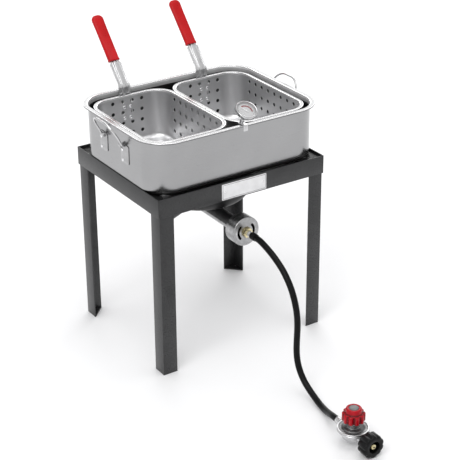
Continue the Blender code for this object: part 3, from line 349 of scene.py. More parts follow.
def skin(bm, rings, closed=False):
    """Faces between rings of equal length. The end rings are capped unless the last joins the first."""
    loops = [[bm.verts.new(point) for point in ring] for ring in rings]
    count = len(loops[0])
    for low, high in zip(loops, loops[1:] + (loops[:1] if closed else [])):
        for i in range(count):
            j = (i + 1) % count
            bm.faces.new((low[i], low[j], high[j], high[i]))
    if not closed:
        bm.faces.new(loops[0][::-1])
        bm.faces.new(loops[-1])


def loft(name, rings, closed=False):
    """A solid through rings of equal length."""
    bm = bmesh.new()
    skin(bm, rings, closed)
    return from_bmesh(name, bm)


def circle_points(radius, count, z, start=0.0):
    turn = 2 * pi / count
    return [(radius * cos(start + turn * i), radius * sin(start + turn * i), z) for i in range(count)]


def turned(name, profile, sides=72, closed=False):
    """A body turned about Z from (radius, z) points. An open profile is capped flat at both ends."""
    return loft(name, [circle_points(radius, sides, z) for radius, z in profile], closed)


def aim(obj, origin, direction):
    """Puts an object's own Z along a direction, with its origin at a point."""
    turn = Vector((0, 0, 1)).rotation_difference(Vector(direction))
    obj.matrix_world = Matrix.Translation(origin) @ turn.to_matrix().to_4x4()
    return obj


def arc(cx, cy, radius, start, end, steps):
    """Points of an arc, with angles in degrees."""
    angles = np.radians(np.linspace(start, end, steps + 1))
    return [(cx + radius * cos(a), cy + radius * sin(a)) for a in angles]


def rounded_ring(a, b, r, z, cx=0.0, cy=0.0, steps=6):
    """A rounded rectangle with half sizes a and b."""
    corners = ((1, 1, 0), (-1, 1, 90), (-1, -1, 180), (1, -1, 270))
    ring = []
    for sx, sy, start in corners:
        ring += arc(cx + sx * (a - r), cy + sy * (b - r), r, start, start + 90, steps)
    return [(x, y, z) for x, y in ring]


def many_turned(name, spots, profile, sides):
    """One mesh of separate turned bodies, from (centre, axis) spots and a (radius, distance) profile."""
    bm = bmesh.new()
    for centre, axis in spots:
        turn = Vector((0, 0, 1)).rotation_difference(Vector(axis)).to_matrix().to_4x4()
        seat = Matrix.Translation(centre) @ turn
        skin(bm, [[seat @ Vector(p) for p in circle_points(radius, sides, z)] for radius, z in profile])
    return from_bmesh(name, bm)


def domed_rivets(name, spots):
    """Rivet heads with a low dome, standing on the surface that each spot lies on."""
    profile = [(RIVET_HEAD_R, -0.0004), (RIVET_HEAD_R, 0.0003)]
    profile += [(RIVET_HEAD_R * cos(radians(a)), 0.0003 + 0.0013 * sin(radians(a))) for a in (20, 40, 60, 80)]
    return many_turned(name, spots, profile, 20)


def combined(name, parts):
    """Several objects as one mesh."""
    bm = bmesh.new()
    for part in parts:
        bpy.context.view_layer.update()
        mesh = part.data.copy()
        mesh.transform(part.matrix_world)
        bm.from_mesh(mesh)
        bpy.data.objects.remove(part)
    return from_bmesh(name, bm)


def boolean(obj, other, operation):
    """Joins or cuts now, and removes the other object."""
    step = obj.modifiers.new("boolean", "BOOLEAN")
    step.operation = operation
    step.solver = "EXACT"
    step.object = other
    baked(obj)
    bpy.data.objects.remove(other)
    return obj


def cut(obj, other):
    return boolean(obj, other, "DIFFERENCE")


def join(obj, other):
    return boolean(obj, other, "UNION")


def baked(obj):
    """Applies an object's modifiers to its mesh."""
    bpy.context.view_layer.update()
    graph = bpy.context.evaluated_depsgraph_get()
    mesh = bpy.data.meshes.new_from_object(obj.evaluated_get(graph))
    obj.modifiers.clear()
    obj.data = mesh
    return obj


def eased(obj, width=0.0005, segments=2):
    """Rounds the sharp edges."""
    step = obj.modifiers.new("bevel", "BEVEL")
    step.width = width
    step.segments = segments
    step.limit_method = "ANGLE"
    step.angle_limit = radians(30)
    return baked(obj)


def settle(obj, body, nodes, look, sharp=35, shift=True):
    """Moves a piece into the model's frame, shades and paints it, ties it to its body and hides the CAD nodes
    it stands for.
    """
    bpy.context.view_layer.update()
    if shift:
        obj.matrix_world = SHIFT @ obj.matrix_world
    if obj.type == "MESH":
        obj.data.shade_smooth()
        obj.data.set_sharp_from_angle(angle=radians(sharp))
    obj.data.materials.clear()
    obj.data.materials.append(LOOKS[look])
    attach(obj, body)
    if nodes:
        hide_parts(*nodes)
    return obj


def repaint(obj, look, chosen):
    """Gives the chosen faces another material, used both for other finishes and for painted light and shade.
    """
    obj.data.materials.append(LOOKS[look])
    last = len(obj.data.materials) - 1
    for face in obj.data.polygons:
        if chosen(face):
            face.material_index = last


def crisp_copy(name, body, look, width=0.0006, segments=2):
    """A copy of a CAD node with eased edges."""
    bm = bmesh.new()
    bm.from_mesh(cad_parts[name].data)
    bmesh.ops.remove_doubles(bm, verts=bm.verts, dist=0.00001)
    bmesh.ops.dissolve_limit(bm, angle_limit=radians(0.5), verts=bm.verts, edges=bm.edges)
    obj = eased(from_bmesh(f"{name}.detailed", bm), width, segments)
    return settle(obj, body, [name], look, sharp=40, shift=False)


def smooth_route(points, count):
    """Points evenly spaced along a Catmull-Rom curve through the route."""
    route = np.array(points)
    first = np.vstack([2 * route[0] - route[1], route, 2 * route[-1] - route[-2]])
    dense = []
    for p0, p1, p2, p3 in zip(first, first[1:], first[2:], first[3:]):
        for t in np.linspace(0, 1, 24, endpoint=False):
            dense.append(0.5 * (2 * p1 + (p2 - p0) * t + (2 * p0 - 5 * p1 + 4 * p2 - p3) * t**2
                                + (3 * p1 - p0 - 3 * p2 + p3) * t**3))
    dense = np.array(dense + [route[-1]])
    along = np.concatenate([[0], np.cumsum(np.linalg.norm(np.diff(dense, axis=0), axis=1))])
    wanted = np.linspace(0, along[-1], count)
    return [tuple(np.interp(s, along, dense[:, axis]) for axis in range(3)) for s in wanted]


def filleted(points, radii):
    """A path in a plane, with a round bend of the given radius at each inner point."""
    steps = 6
    path = [Vector(points[0])]
    for before, here, after, radius in zip(points, points[1:], points[2:], radii):
        here = Vector(here)
        back, ahead = (Vector(before) - here).normalized(), (Vector(after) - here).normalized()
        half = back.angle(ahead) / 2
        reach = radius / tan(half)
        first, last = here + back * reach, here + ahead * reach
        for t in [step / steps for step in range(steps + 1)]:
            path.append((1 - t) ** 2 * first + 2 * t * (1 - t) * here + t**2 * last)
    return path + [Vector(points[-1])]


# ---- stand
def build_stand():
    for side in ("front", "right", "back", "left"):
        crisp_copy(f"rail_{side}", "stand", "paint", 0.0009, 3)
    for depth in ("front", "back"):
        for side in ("left", "right"):
            crisp_copy(f"leg_{depth}_{side}", "stand", "paint", 0.0007, 3)
            crisp_copy(f"foot_plate_{depth}_{side}", "stand", "paint", 0.0006, 2)
    for name in ("burner_arm_front_left", "burner_arm_back_right"):
        crisp_copy(name, "stand", "guard", 0.0004, 2)


def build_nameplate():
    """A blank plate with a thin engraved border and two rivets."""
    crisp_copy("nameplate", "stand", "plate", 0.0004, 2)
    face = -STAND_D / 2 - GAP - PLATE_T
    z = STAND_H - APRON_H / 2
    rings = []
    for inset, corner, depth in BORDER:
        outline = rounded_ring(PLATE_W / 2 - inset, PLATE_H / 2 - inset, corner, 0)
        rings.append([(u, face + depth, z + v) for u, v, _ in outline])
    settle(loft("nameplate_border", rings, closed=True), "stand", [], "groove")
    spots = [((sign * (PLATE_W / 2 - 0.0085), face, z), (0, -1, 0)) for sign in (-1, 1)]
    profile = [(0.0023, -0.0003), (0.0023, 0.0002), (0.0020, 0.0006), (0.0012, 0.0009), (0.0004, 0.0010)]
    settle(many_turned("nameplate_rivets", spots, profile, 20), "stand", [], "rivet")


# ---- burner
def build_wind_guard():
    outer = arc(GUARD_R - GUARD_FILLET, GUARD_Z0 + GUARD_FILLET, GUARD_FILLET, -90, 0, 14)
    inner = arc(GUARD_R - GUARD_FILLET, GUARD_Z0 + GUARD_FILLET, GUARD_FILLET - GUARD_T, 0, -90, 14)
    profile = [(GUARD_HOLE, GUARD_Z0)] + outer + [(GUARD_R, GUARD_Z1), (GUARD_R - GUARD_T, GUARD_Z1)]
    profile += inner + [(GUARD_HOLE, GUARD_Z0 + GUARD_T)]
    guard = eased(turned("wind_guard.detailed", profile, 128, closed=True), 0.0004)
    settle(guard, "stand", ["wind_guard"], "guard")


def build_casting():
    shoulder = GUARD_Z0 + GUARD_T + GAP
    profile = (
        (0.012, TUBE_Z - TUBE_R), (0.0190, TUBE_Z - 0.0150), (0.0225, TUBE_Z - 0.008),
        (0.0235, TUBE_Z + 0.010), (0.0240, shoulder - 0.0001), (0.0360, shoulder), (0.0380, HEAD_Z0 - 0.004),
        (0.0460, HEAD_Z0 + 0.0005), (HEAD_R, HEAD_Z0 + 0.004), (HEAD_R, HEAD_Z1),
    )
    body = turned("burner_casting.detailed", profile, 80)
    tube_profile = (
        (TUBE_R, 0.0), (TUBE_R, -MOUTH_Y - 0.030), (TUBE_R + 0.0010, -MOUTH_Y - 0.020),
        (TUBE_R + 0.003, -MOUTH_Y - 0.014), (TUBE_R + 0.0065, -MOUTH_Y - 0.009), (MOUTH_R, -MOUTH_Y - 0.005),
        (MOUTH_R, -MOUTH_Y),
    )
    join(body, aim(turned("tool_tube", tube_profile, 56), (0, 0, TUBE_Z), (0, -1, 0)))
    bore = (
        (TUBE_BORE, -0.002), (TUBE_BORE, -MOUTH_Y - 0.028), (TUBE_BORE + 0.003, -MOUTH_Y - 0.014),
        (MOUTH_R - 0.004, -MOUTH_Y - 0.003), (MOUTH_R - 0.004, -MOUTH_Y + 0.010),
    )
    cut(body, aim(turned("tool_bore", bore, 48), (0, 0, TUBE_Z), (0, -1, 0)))
    chamber = (
        (TUBE_BORE, TUBE_Z - 0.002), (TUBE_BORE, HEAD_Z0 - 0.002), (HEAD_R - HEAD_WALL, HEAD_Z0 + 0.008),
        (HEAD_R - HEAD_WALL, HEAD_Z1 + 0.010),
    )
    cut(body, turned("tool_chamber", chamber, 56))
    settle(body, "stand", ["burner_casting"], "iron")
    tube_front, tube_back = MOUTH_Y + 0.002, -0.050
    # Painted reflection of the floor on the downward faces of the mixing tube.
    repaint(body, "underside_painted_light", lambda face: face.normal.z < -0.03 and tube_front < face.center.y < tube_back)


def build_burner_top():
    top = HEAD_Z1 + GAP
    profile = (
        (0.0030, top), (HEAD_R, top), (HEAD_R, top + 0.0035), (HEAD_R - 0.0020, top + 0.0055),
        (HEAD_R - 0.006, top + 0.0070), (0.040, top + 0.0078), (0.020, top + 0.0085), (0.0030, top + 0.0085),
    )
    cap = turned("burner_cap.detailed", profile, 96, closed=True)
    spots = [((x, y, top), (0, 0, 1)) for x, y, _ in circle_points(PORT_RING_R, PORTS, 0)]
    cut(cap, many_turned("tool_ports", spots, ((0.0022, -0.02), (0.0022, 0.02)), 20))
    settle(cap, "stand", ["burner_cap"], "iron")
    crisp_copy("burner_bolt", "stand", "plated", 0.0004, 2)


def slot_outline(sign):
    """A curved air slot with round ends."""
    middle = 0 if sign > 0 else 180
    start, end, half = middle - SLOT_HALF, middle + SLOT_HALF, SLOT_W / 2

    def tip(place, turn):
        x, y = SLOT_R * cos(radians(place)), SLOT_R * sin(radians(place))
        return arc(x, y, half, turn, turn + 180, 8)[1:-1]

    outline = arc(0, 0, SLOT_R + half, start, end, 18) + tip(end, end)
    return outline + arc(0, 0, SLOT_R - half, end, start, 18) + tip(start, start + 180)


def cut_slots(obj, y, reach):
    for sign in (-1, 1):
        outline = slot_outline(sign)
        cut(obj, loft("tool_slot", [[(x, y + s * reach, TUBE_Z + z) for x, z in outline] for s in (1, -1)]))
    return obj


def build_shutter():
    """The turned air shutter cup with a raised ring on its face and two air slots."""
    depth, inner = -CUP_Y + MOUTH_Y, CUP_R - CUP_T
    profile = [
        (0.0068, -CUP_T), (0.0068, 0), (0.0120, 0), (0.0126, 0.0003), (0.0136, 0.0003), (0.0142, 0),
        (CUP_R - 0.0075, 0), (CUP_R - 0.0070, -0.0004), (CUP_R - 0.0050, -0.0004), (CUP_R - 0.0045, 0),
        *arc(CUP_R - 0.0022, -0.0022, 0.0022, 90, 0, 6),
        (CUP_R, -depth), (inner, -depth), (inner, -0.0034), (CUP_R - 0.0034, -CUP_T),
    ]
    cup = turned("air_shutter.detailed", profile, 96, closed=True)
    cup.matrix_world = Matrix.Translation((0, CUP_Y, TUBE_Z)) @ Matrix.Rotation(pi / 2, 4, "X")
    settle(cut_slots(cup, CUP_Y, 0.006), "shutter", ["air_shutter"], "shutter", sharp=30)
    # Painted shade: the inside of the cup gets the dark iron.
    painted_shade_z, painted_shade_r = -CUP_T * 0.98, inner + 0.00005
    repaint(cup, "iron", lambda face: face.center.z < painted_shade_z and face.center.xy.length < painted_shade_r)
    crisp_copy("air_plate", "stand", "iron", 0.0003, 2)


def build_gas_fittings():
    crisp_copy("orifice_fitting", "stand", "brass", 0.0005, 3)
    crisp_copy("swivel_nut", "stand", "plated", 0.0004, 3)
    start = CUP_Y - GAP - ORIFICE_HEX - GAP - SWIVEL_LEN - GAP
    end = HOSE_ROUTE[0][1] + GAP
    return ferrule("hose_ferrule_burner", (0, start, TUBE_Z), start - end, "hose")


def ferrule(name, origin, length, look):
    """A crimped sleeve with shallow grooves and rounded ends, running towards -Y from its origin."""
    r, groove = FERRULE_R, FERRULE_R - 0.0005
    profile = [(r - FERRULE_EDGE, 0), (r - 0.0003, 0.0004), (r, FERRULE_EDGE)]
    for share in (0.25, 0.5, 0.75):
        middle = length * share
        profile += [(r, middle - 0.0010), (groove, middle - 0.0004), (groove, middle + 0.0004)]
        profile.append((r, middle + 0.0010))
    profile += [(r, length - FERRULE_EDGE), (r - 0.0003, length - 0.0004), (r - FERRULE_EDGE, length)]
    sleeve = aim(turned(f"{name}.detailed", profile, 48), origin, (0, -1, 0))
    return settle(sleeve, "stand", [name], look)


# ---- hose and regulator
def build_hose():
    curve = bpy.data.curves.new("gas_hose", "CURVE")
    curve.dimensions = "3D"
    curve.bevel_depth = HOSE_R
    curve.bevel_resolution = 8
    curve.use_fill_caps = True
    spline = curve.splines.new("POLY")
    points = [HOSE_ROUTE[0]] + smooth_route(HOSE_ROUTE[1:-1], HOSE_POINTS) + [HOSE_ROUTE[-1]]
    points = [(x, y + STAND_SHIFT_Y, z) for x, y, z in points]
    spline.points.add(len(points) - 1)
    for target, point in zip(spline.points, points):
        target.co = (*point, 1)
    spline.use_smooth = True
    hose = bpy.data.objects.new("gas_hose.detailed", curve)
    SCENE.objects.link(hose)
    settle(hose, "stand", ["gas_hose"], "hose", shift=False)


def on_axis(z):
    """A point of the regulator's upright axis."""
    return (REG_X, REG_Y, z)


def centred(obj):
    """Sets a turned body on the regulator's upright axis."""
    obj.location = on_axis(0)
    return obj


def build_regulator_body():
    profile = [
        (0.010, 0.0105), (0.018, 0.0115), (0.0225, 0.0135), (0.0245, 0.0160), (0.0262, 0.0240),
        (0.0265, 0.0300), (FLANGE_R - 0.0012, 0.0318), *arc(FLANGE_R - 0.0010, 0.0328, 0.0010, -60, 0, 3),
        (FLANGE_R, 0.0352), (FLANGE_R - 0.0006, 0.0358),
    ]
    body = centred(turned("regulator_body.detailed", profile, 96))
    outlet = ((0.0075, 0.010), (0.0085, 0.0200), (0.0085, 0.0415), (0.0078, 0.0425))
    inlet = ((0.0095, 0.010), (0.0095, 0.0364), (0.0088, 0.0372))
    for port, heading in ((outlet, 1), (inlet, -1)):
        join(body, aim(turned("tool_port", port, 40), on_axis(REG_Z - PORT_DROP), (0, heading, 0)))
    cut(body, centred(turned("tool_gas_chamber", ((0.020, 0.0170), (0.0225, 0.0260), (0.0225, 0.0500)), 48)))
    return settle(body, "stand", ["regulator_body"], "cast")


def build_regulator_top():
    """Diaphragm, bonnet with a pressed step and crimped edge, and the spring inside."""
    diaphragm = centred(turned("regulator_diaphragm.detailed", ((0.0330, 0.0361), (0.0330, 0.0365)), 72))
    settle(eased(diaphragm, 0.0001), "stand", ["regulator_diaphragm"], "hose")
    outer = [
        (FLANGE_R - 0.0030, 0), (FLANGE_R - 0.0036, -0.0004), (0.0262, -0.0004), (0.0250, 0),
        (0.0240, 0.0010), (0.0225, 0.0018), (0.0170, 0.0022), (0.0152, 0.0036), (0.0145, 0.0060),
        (0.0158, 0.0105), (0.0178, 0.0142), (0.0180, 0.0155), (0.0180, 0.0168), (0.0176, 0.0172),
        (0.0062, 0.0172), (0.0062, 0.0145), (0.0110, 0.0145),
    ]
    profile = [(0.0210, 0.0368), (FLANGE_R - 0.0003, 0.0368)]
    profile += arc(FLANGE_R - 0.0010, FLANGE_TOP - 0.0010, 0.0010, 0, 90, 4)
    profile += [(radius, FLANGE_TOP + rise) for radius, rise in outer] + [(0.0110, 0.0385)]
    bonnet = centred(turned("regulator_bonnet.detailed", profile, 96, closed=True))
    settle(bonnet, "stand", ["regulator_bonnet"], "cast", sharp=40)

    def in_dish(face):
        return DISH_LOW < face.center.z < DISH_HIGH and face.center.xy.length < DISH_R

    # Painted shade in the dish.
    repaint(bonnet, "dish_painted_shade", in_dish)
    steps = 96
    rings = []
    for i in range(steps + 1):
        angle = 2 * pi * SPRING_TURNS * i / steps
        out = Vector((cos(angle), sin(angle), 0))
        middle = Vector(on_axis(SPRING_Z + SPRING_RISE * i / steps)) + out * SPRING_R
        rings.append([middle + out * x + Vector((0, 0, y)) for x, y, _ in circle_points(SPRING_WIRE, 10, 0)])
    spring = loft("regulator_spring.detailed", rings)
    return [diaphragm, bonnet, settle(spring, "stand", ["regulator_spring"], "chrome")]


def lobed_ring(radius, depth, lobes, count, z):
    """A ring with shallow round scallops cut into it."""
    ring = []
    for i in range(count):
        angle = 2 * pi * i / count
        dip = (0.5 - 0.5 * cos(lobes * angle)) ** 2
        ring.append(((radius - depth * dip) * cos(angle), (radius - depth * dip) * sin(angle), z))
    return ring


def build_knob():
    screw_profile = ((0.0082, 0.0516), (0.0088, 0.0520), (0.0088, 0.0540), (0.0056, 0.0541), (0.0056, 0.0650))
    screw = centred(turned("adjusting_screw.detailed", screw_profile, 40))
    settle(screw, "pressure_knob", ["adjusting_screw"], "plated")
    count = KNOB_LOBES * LOBE_STEPS
    low, mid, top = FLANGE_TOP + 0.0178, FLANGE_TOP + 0.0378, FLANGE_TOP + 0.0495
    lobes = (
        (0.0012, 1.0, low), (0.0004, 1.0, low + 0.0004), (0.0, 1.0, low + 0.0012), (0.0, 1.0, mid - 0.0030),
        (0.0004, 1.0, mid - 0.0014), (0.0014, 0.9, mid - 0.0004), (0.0030, 0.7, mid + 0.0001),
    )
    rings = [lobed_ring(KNOB_R - inset, KNOB_LOBE * share, KNOB_LOBES, count, z) for inset, share, z in lobes]
    crown = (
        (0.0192, mid + 0.0006), (0.0184, mid + 0.0012), (0.0181, mid + 0.0022), (0.0180, top - 0.0034),
        (0.0177, top - 0.0020), (0.0168, top - 0.0009), (0.0150, top - 0.0002), (0.0128, top),
        (0.0118, top - 0.0004), (0.0115, top - 0.0012),
    )
    rings += [circle_points(radius, count, z) for radius, z in crown]
    knob = centred(loft("regulator_knob.detailed", rings))
    cut(knob, centred(turned("tool_knob_bore", ((0.0060, low - 0.01), (0.0060, 0.0655)), 40)))
    settle(knob, "pressure_knob", ["regulator_knob"], "knob", sharp=50)
    # Painted shade in the lobe valleys and on the step under the crown.
    valley_shade_r, valley_shade_z = KNOB_R - 0.5 * KNOB_LOBE, mid - 0.0012
    step_low, step_high = mid + 0.0002, mid + 0.0018
    repaint(knob, "knob_painted_shade", lambda face: face.center.z < valley_shade_z and face.center.xy.length < valley_shade_r)
    repaint(knob, "knob_painted_shade", lambda face: step_low < face.center.z < step_high)
    cap_profile = ((0.0108, top - 0.0009), (0.0108, top - 0.0004), (0.0104, top - 0.0001), (0.0096, top))
    cap = centred(turned("knob_insert.detailed", cap_profile, 64))
    return [screw, knob, settle(cap, "pressure_knob", ["knob_insert"], "insert")]


def build_inlet():
    """The brass nipple and the lobed hand nut round it. Nut rings are (radius, lobe depth, distance)."""
    steps = (
        (0.0022, 0), (0.0062, 0), (0.0062, 0.0120), (0.0114, 0.0122), (0.0118, 0.0128), (0.0118, 0.0160),
        (0.0112, 0.0166), (0.0062, 0.0175), (0.0062, 0.0245), (0.0078, 0.0260), (0.0080, 0.0268),
        (0.0080, 0.0308), (0.0076, 0.0322), (0.0064, 0.0346), (0.0054, 0.0358), (0.0030, 0.0365),
        (0.0022, 0.0357),
    )
    profile = [(radius, INLET_FACE + along) for radius, along in steps]
    nipple = aim(turned("inlet_nipple.detailed", profile, 56, closed=True), on_axis(REG_Z), (0, -1, 0))
    settle(nipple, "stand", ["inlet_nipple"], "brass")
    back, front = NUT_BACK, NUT_FRONT
    lobes = (
        (0.0068, 0, back), (0.0160, 0, back), (0.0168, 0, back + 0.0006), (0.0180, 0, back + 0.0060),
        (NUT_R - 0.0030, 0.0030, back + 0.0080), (NUT_R - 0.0008, 0.0028, back + 0.0090),
        (NUT_R, 0.0026, back + 0.0105), (NUT_R, 0.0026, front - 0.0040),
        (NUT_R - 0.0008, 0.0024, front - 0.0022), (NUT_R - 0.0024, 0.0018, front - 0.0008),
        (0.0212, 0, front), (0.0152, 0, front), (0.0142, 0, front - 0.0006), (0.0140, 0, front - 0.0014),
        (0.0140, 0, back + 0.0080), (0.0068, 0, back + 0.0080),
    )
    rings = [lobed_ring(radius, depth, NUT_LOBES, NUT_LOBES * LOBE_STEPS, z) for radius, depth, z in lobes]
    nut = loft("cylinder_nut.detailed", rings, closed=True)
    nut.data.transform(Matrix.Rotation(-pi / NUT_LOBES, 4, "Z"))
    nut.matrix_world = Matrix.Translation(on_axis(REG_Z)) @ Matrix.Rotation(pi / 2, 4, "X")
    return [nipple, settle(nut, "hand_nut", ["cylinder_nut"], "nut", sharp=45)]


# ---- pan and baskets
def tub_profile(bottom, top, sheet, flange, bend, fillet, lip):
    """(outward offset from the wall, z) points, from the middle of the bottom out and back to the middle."""
    inner_bend = bend - sheet
    profile = arc(-fillet, bottom + fillet, fillet, -90, 0, 9)
    profile += arc(inner_bend, top - sheet - inner_bend, inner_bend, 180, 90, 6)
    profile += [(flange - sheet, top - sheet), (flange - sheet, top - lip), (flange, top - lip)]
    profile += arc(flange - EDGE_ROUND, top - EDGE_ROUND, EDGE_ROUND, 0, 90, 5)
    profile += arc(inner_bend, top - bend, bend, 90, 180, 7)
    profile.append((-sheet, top - INNER_BAND))
    return profile + arc(-fillet, bottom + fillet, fillet - sheet, 0, -90, 9)


def tub(name, centre, half_a, half_b, radius, profile):
    """A pressed rectangular vessel with rounded corners."""
    rings = []
    for offset, z in profile:
        rings.append(rounded_ring(half_a + offset, half_b + offset, radius + offset, z, *centre, steps=18))
    return loft(name, rings)


def build_pan():
    """The pan, with a painted highlight line along its base, painted shade on its inside below the upper
    band, and painted light on that band.
    """
    profile = tub_profile(PAN_BOTTOM, PAN_TOP, PAN_SHEET, PAN_FLANGE, PAN_BEND, PAN_FILLET, PAN_LIP)
    pan = tub("fry_pan.detailed", (0, 0), PAN_A, PAN_B, PAN_R, profile)
    settle(pan, "pan", ["fry_pan"], "pan")

    def offset(face):
        return wall_offset(face.center.x, face.center.y, PAN_A, PAN_B, PAN_R)

    def inside(low, high):
        return lambda face: low < face.center.z < high and offset(face) < -0.0004

    paint_rim(pan, offset, PAN_TOP, PAN_BEND, PAN_FLANGE)
    base_z, painted_shade_z = PAN_BOTTOM + 0.74 * PAN_FILLET, PAN_TOP - INNER_BAND
    # Painted highlight: a thin bright line on the base fillet.
    repaint(pan, "edge", lambda face: abs(face.center.z - base_z) < 0.0006 and offset(face) > -0.0015)
    # Painted shade on the inside below the upper band, and painted light on the band.
    repaint(pan, "pan_inside_painted_shade", inside(PAN_BOTTOM + PAN_SHEET / 2, painted_shade_z))
    repaint(pan, "pan_band_painted_light", inside(painted_shade_z, PAN_TOP - 0.0008))


def wall_offset(x, y, half_a, half_b, radius):
    """How far a point lies outside the outline of a rounded rectangle's wall."""
    u, v = max(abs(x) - half_a + radius, 0), max(abs(y) - half_b + radius, 0)
    if u == 0 or v == 0:
        return max(abs(x) - half_a, abs(y) - half_b)
    return sqrt(u * u + v * v) - radius


def paint_rim(obj, offset, top, bend, flange):
    """Gives a vessel's rolled rim a darker flat of painted shade, between painted highlights on the outer
    edge and on the inner bend.
    """
    bend_z, edge_z = top - bend, top - EDGE_ROUND
    outer, inner = flange - EDGE_ROUND, 0.4 * bend

    def on_rim(face):
        return face.center.z > bend_z and (offset(face) > 0.0004 or face.normal.z > 0.5)

    # Painted shade on the rim's flat.
    repaint(obj, "rim", on_rim)
    # Painted highlights on the outer edge and on the inner bend.
    repaint(obj, "edge", lambda face: face.center.z > edge_z and offset(face) > outer)
    repaint(obj, "edge", lambda face: face.center.z > edge_z - 0.001 and 0 < offset(face) < inner)


def build_brackets(side, sign):
    """Two hinge brackets on one side wall: a rounded plate, a rolled barrel and two domed rivets."""
    wall = PAN_A + GAP
    half = EYE_LEN / 2
    eye_inset = BAIL_WIRE + 0.0006 + half
    low = BAIL_Z - BRACKET_H + 0.003
    for depth, end in (("front", -1), ("back", 1)):
        name = f"bail_bracket_{side}_{depth}"
        y = BAIL_Y + end * BAIL_LEG
        outline = rounded_ring(BRACKET_W / 2, BRACKET_H / 2, 0.0045, 0)
        middle_z = low + BRACKET_H / 2
        rings = [[(sign * (wall + t), y + u, middle_z + v) for u, v, _ in outline] for t in (0, BRACKET_T)]
        plate = eased(loft("tool_plate", rings), 0.0004)
        barrel_profile = [(EYE_BORE, -half), (EYE_R - 0.0004, -half), (EYE_R, -half + 0.0004)]
        barrel_profile += [(r, -z) for r, z in reversed(barrel_profile)]
        hinge = (sign * (PAN_A + BAIL_OUT), y - end * eye_inset, BAIL_Z)
        barrel = aim(turned("tool_barrel", barrel_profile, 32, closed=True), hinge, (0, 1, 0))
        settle(combined(f"{name}.detailed", [plate, barrel]), "pan", [name], "bracket")
        rivet_y = y + BRACKET_RIVET_Y
        spots = [((sign * (wall + BRACKET_T), rivet_y, z), (sign, 0, 0)) for z in BRACKET_RIVETS]
        spots += [((sign * (PAN_A - PAN_SHEET), rivet_y, z), (-sign, 0, 0)) for z in BRACKET_RIVETS]
        settle(domed_rivets(f"{name}_rivets", spots), "pan", [], "rivet")


def wire(name, path, radius, sides):
    """A round wire along a path of (y, s) points in the plane X = 0."""
    rings = []
    for i, (y, s) in enumerate(path):
        before = Vector(path[max(i - 1, 0)])
        after = Vector(path[min(i + 1, len(path) - 1)])
        along = (after - before).normalized()
        normal, across, centre = Vector((0, -along.y, along.x)), Vector((1, 0, 0)), Vector((0, y, s))
        rings.append([centre + normal * u + across * v for u, v, _ in circle_points(radius, sides, 0)])
    return loft(name, rings)


def build_bail(side, sign):
    foot = BAIL_LEG - BAIL_FOOT - EYE_LEN
    path = [(-foot, 0.0)] + arc(-BAIL_LEG + BAIL_FOOT, BAIL_FOOT, BAIL_FOOT, -90, -180, 8)
    path += arc(-BAIL_LEG + BAIL_CORNER, BAIL_H - BAIL_CORNER, BAIL_CORNER, 180, 90, 24)
    path += [(-y, s) for y, s in reversed(path)]
    bail = wire(f"bail_{side}.detailed", path, BAIL_WIRE - 0.0001, 20)
    bail.data.transform(Matrix.Rotation(sign * BAIL_LEAN, 4, "Y"))
    bail.location = (sign * (PAN_A + BAIL_OUT), BAIL_Y, BAIL_Z)
    settle(bail, f"{side}_bail", [f"bail_{side}"], "chrome", sharp=60)


def basket_holes(cx):
    """Centres on the outer face and outward axes of the holes in one basket's walls and floor."""
    spots = []
    zs = [BASKET_TOP - HOLE_TOP - HOLE_PITCH_Z * row for row in range(HOLE_ROWS)]
    xs = [cx + HOLE_PITCH_X * (col - (HOLE_COLS_X - 1) / 2) for col in range(HOLE_COLS_X)]
    ys = [BASKET_Y + HOLE_PITCH_Y * (col - (HOLE_COLS_Y - 1) / 2) for col in range(HOLE_COLS_Y)]
    for z in zs:
        for side in (-1, 1):
            spots += [((x, BASKET_Y + side * BASKET_B, z), (0, side, 0)) for x in xs]
            spots += [((cx + side * BASKET_A, y, z), (side, 0, 0)) for y in ys]
    for i in (-1, 0, 1):
        for j in (-2, -1, 0, 1, 2):
            spots.append(((cx + i * FLOOR_PITCH, BASKET_Y + j * FLOOR_PITCH, BASKET_BOTTOM), (0, 0, -1)))
    return spots


def build_basket(side, sign):
    """A perforated basket. Each hole has a small chamfer on both faces of the sheet."""
    cx = sign * BASKET_X
    profile = tub_profile(
        BASKET_BOTTOM, BASKET_TOP, BASKET_SHEET, BASKET_FLANGE, BASKET_BEND, BASKET_FILLET, BASKET_LIP
    )
    basket = tub(f"basket_{side}.detailed", (cx, BASKET_Y), BASKET_A, BASKET_B, BASKET_R, profile)
    reach = 0.001
    hole = (
        (HOLE_R + HOLE_CHAMFER + reach, -BASKET_SHEET - reach),
        (HOLE_R, -BASKET_SHEET + HOLE_CHAMFER),
        (HOLE_R, -HOLE_CHAMFER),
        (HOLE_R + HOLE_CHAMFER + reach, reach),
    )
    cut(basket, many_turned("tool_holes", basket_holes(cx), hole, HOLE_SIDES))
    body = f"{side}_basket"
    settle(basket, body, [f"basket_{side}"], "basket", sharp=30)

    def offset(face):
        return wall_offset(face.center.x - cx, face.center.y - BASKET_Y, BASKET_A, BASKET_B, BASKET_R)

    paint_rim(basket, offset, BASKET_TOP, BASKET_BEND, BASKET_FLANGE)
    build_handle(side, cx, BASKET_Y + BASKET_B, body)


def handle_section():
    """The pressed strap's section as (across, out) points: raised edges and a raised middle rib."""
    half = HANDLE_W / 2
    upper = [(-half, -0.0004), (-half + 0.0004, 0), (-half + 0.0017, 0), (-half + 0.0026, -0.0008)]
    upper += [(-half + 0.0034, -RIB_H + 0.0004), (-half + 0.0044, -RIB_H), (-0.0058, -RIB_H)]
    upper += [(-0.0051, -RIB_H + 0.0005), (-0.0043, -0.0007), (-0.0036, -0.0001), (-0.0026, 0)]
    upper += [(-u, v) for u, v in reversed(upper)]
    return upper + [(u, v - HANDLE_SHEET) for u, v in reversed(upper)]


